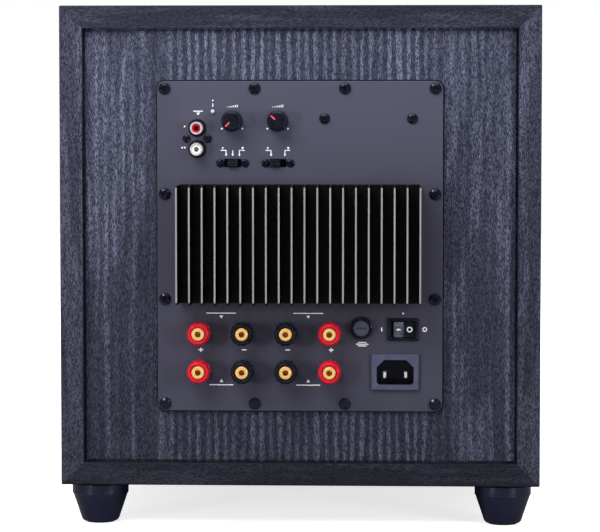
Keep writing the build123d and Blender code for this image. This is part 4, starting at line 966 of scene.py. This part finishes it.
# seen directly the floor is bright paper; as a light it is dim, so that the dark object keeps its blacks
floorShader.inputs["Emission Color"].default_value = (1, 1, 1, 1)
toEye = addNode(floorTree, "LightPath").outputs["Is Camera Ray"]
onFloor = addNode(floorTree, "TexCoord").outputs["Object"]
farAway = addNode(floorTree, "VectorMath", {0: onFloor}, operation="LENGTH").outputs["Value"]
glow = calc(floorTree, "MULTIPLY", toEye, ranged(floorTree, farAway, *stage["glowReach"], *stage["glow"]))
floorTree.links.new(glow, floorShader.inputs["Emission Strength"])
dim = [stage["bounce"]] * 3
floorColour = blendColour(floorTree, toEye, dim, stage["floorColour"])
floorTree.links.new(floorColour, floorShader.inputs["Base Color"])
floorMesh = bpy.data.meshes.new("floor")
floorMesh.from_pydata(corners.tolist(), [], [[0, 1, 2, 3]])
floorMesh.materials.append(floorMaterial)
floor = bpy.data.objects.new("floor", floorMesh)
bpy.context.scene.collection.objects.link(floor)

# the background is white to the eye, and a softer grey as a light
world = bpy.data.worlds.new("studio")
bpy.context.scene.world = world
world.use_nodes = True
backdrop = world.node_tree.nodes["Background"]
backdrop.inputs["Color"].default_value = (1, 1, 1, 1)
isSeen = addNode(world.node_tree, "LightPath").outputs["Is Camera Ray"]
level = ranged(world.node_tree, isSeen, 0, 1, stage["ambient"], stage["backdrop"])
world.node_tree.links.new(level, backdrop.inputs["Strength"])

# softboxes: place, aim, width, height, power in watts
softboxes = {
    "key": ((0.42, 0.90, 1.00), (0.0, 0.16, 0.22), 0.8, 0.6, 12.5),
    "fill": ((-0.95, 1.15, 0.80), (0.0, 0.16, 0.20), 0.6, 0.6, 5.0),
    "stripLeft": ((1.00, 1.30, 0.22), (0.1, 0.14, 0.04), 0.16, 0.4, 6.5),
    "stripRight": ((-1.10, 1.20, 0.22), (-0.1, 0.14, 0.04), 0.16, 0.4, 6.5),
    "top": ((0.0, 0.10, 1.70), (0.0, 0.0, 0.2), 1.4, 1.4, 12.0),
    "frontLeft": ((-1.2, -1.6, 1.1), (0.0, 0.0, 0.18), 0.9, 0.9, 22.0),
    "frontRight": ((1.3, -1.2, 0.8), (0.0, 0.0, 0.18), 0.5, 1.2, 12.0),
}
for name, (place, aim, width, height, power) in softboxes.items():
    light = bpy.data.lights.new(name, "AREA")
    light.shape, light.size, light.size_y, light.energy = "RECTANGLE", width, height, power
    lamp = bpy.data.objects.new(name, light)
    bpy.context.scene.collection.objects.link(lamp)
    lamp.location = place
    lamp.rotation_euler = (Vector(aim) - Vector(place)).to_track_quat("-Z", "Y").to_euler()
    lamp.visible_camera = False
bpy.context.scene.view_settings.view_transform = "Standard"
print("stage lit")
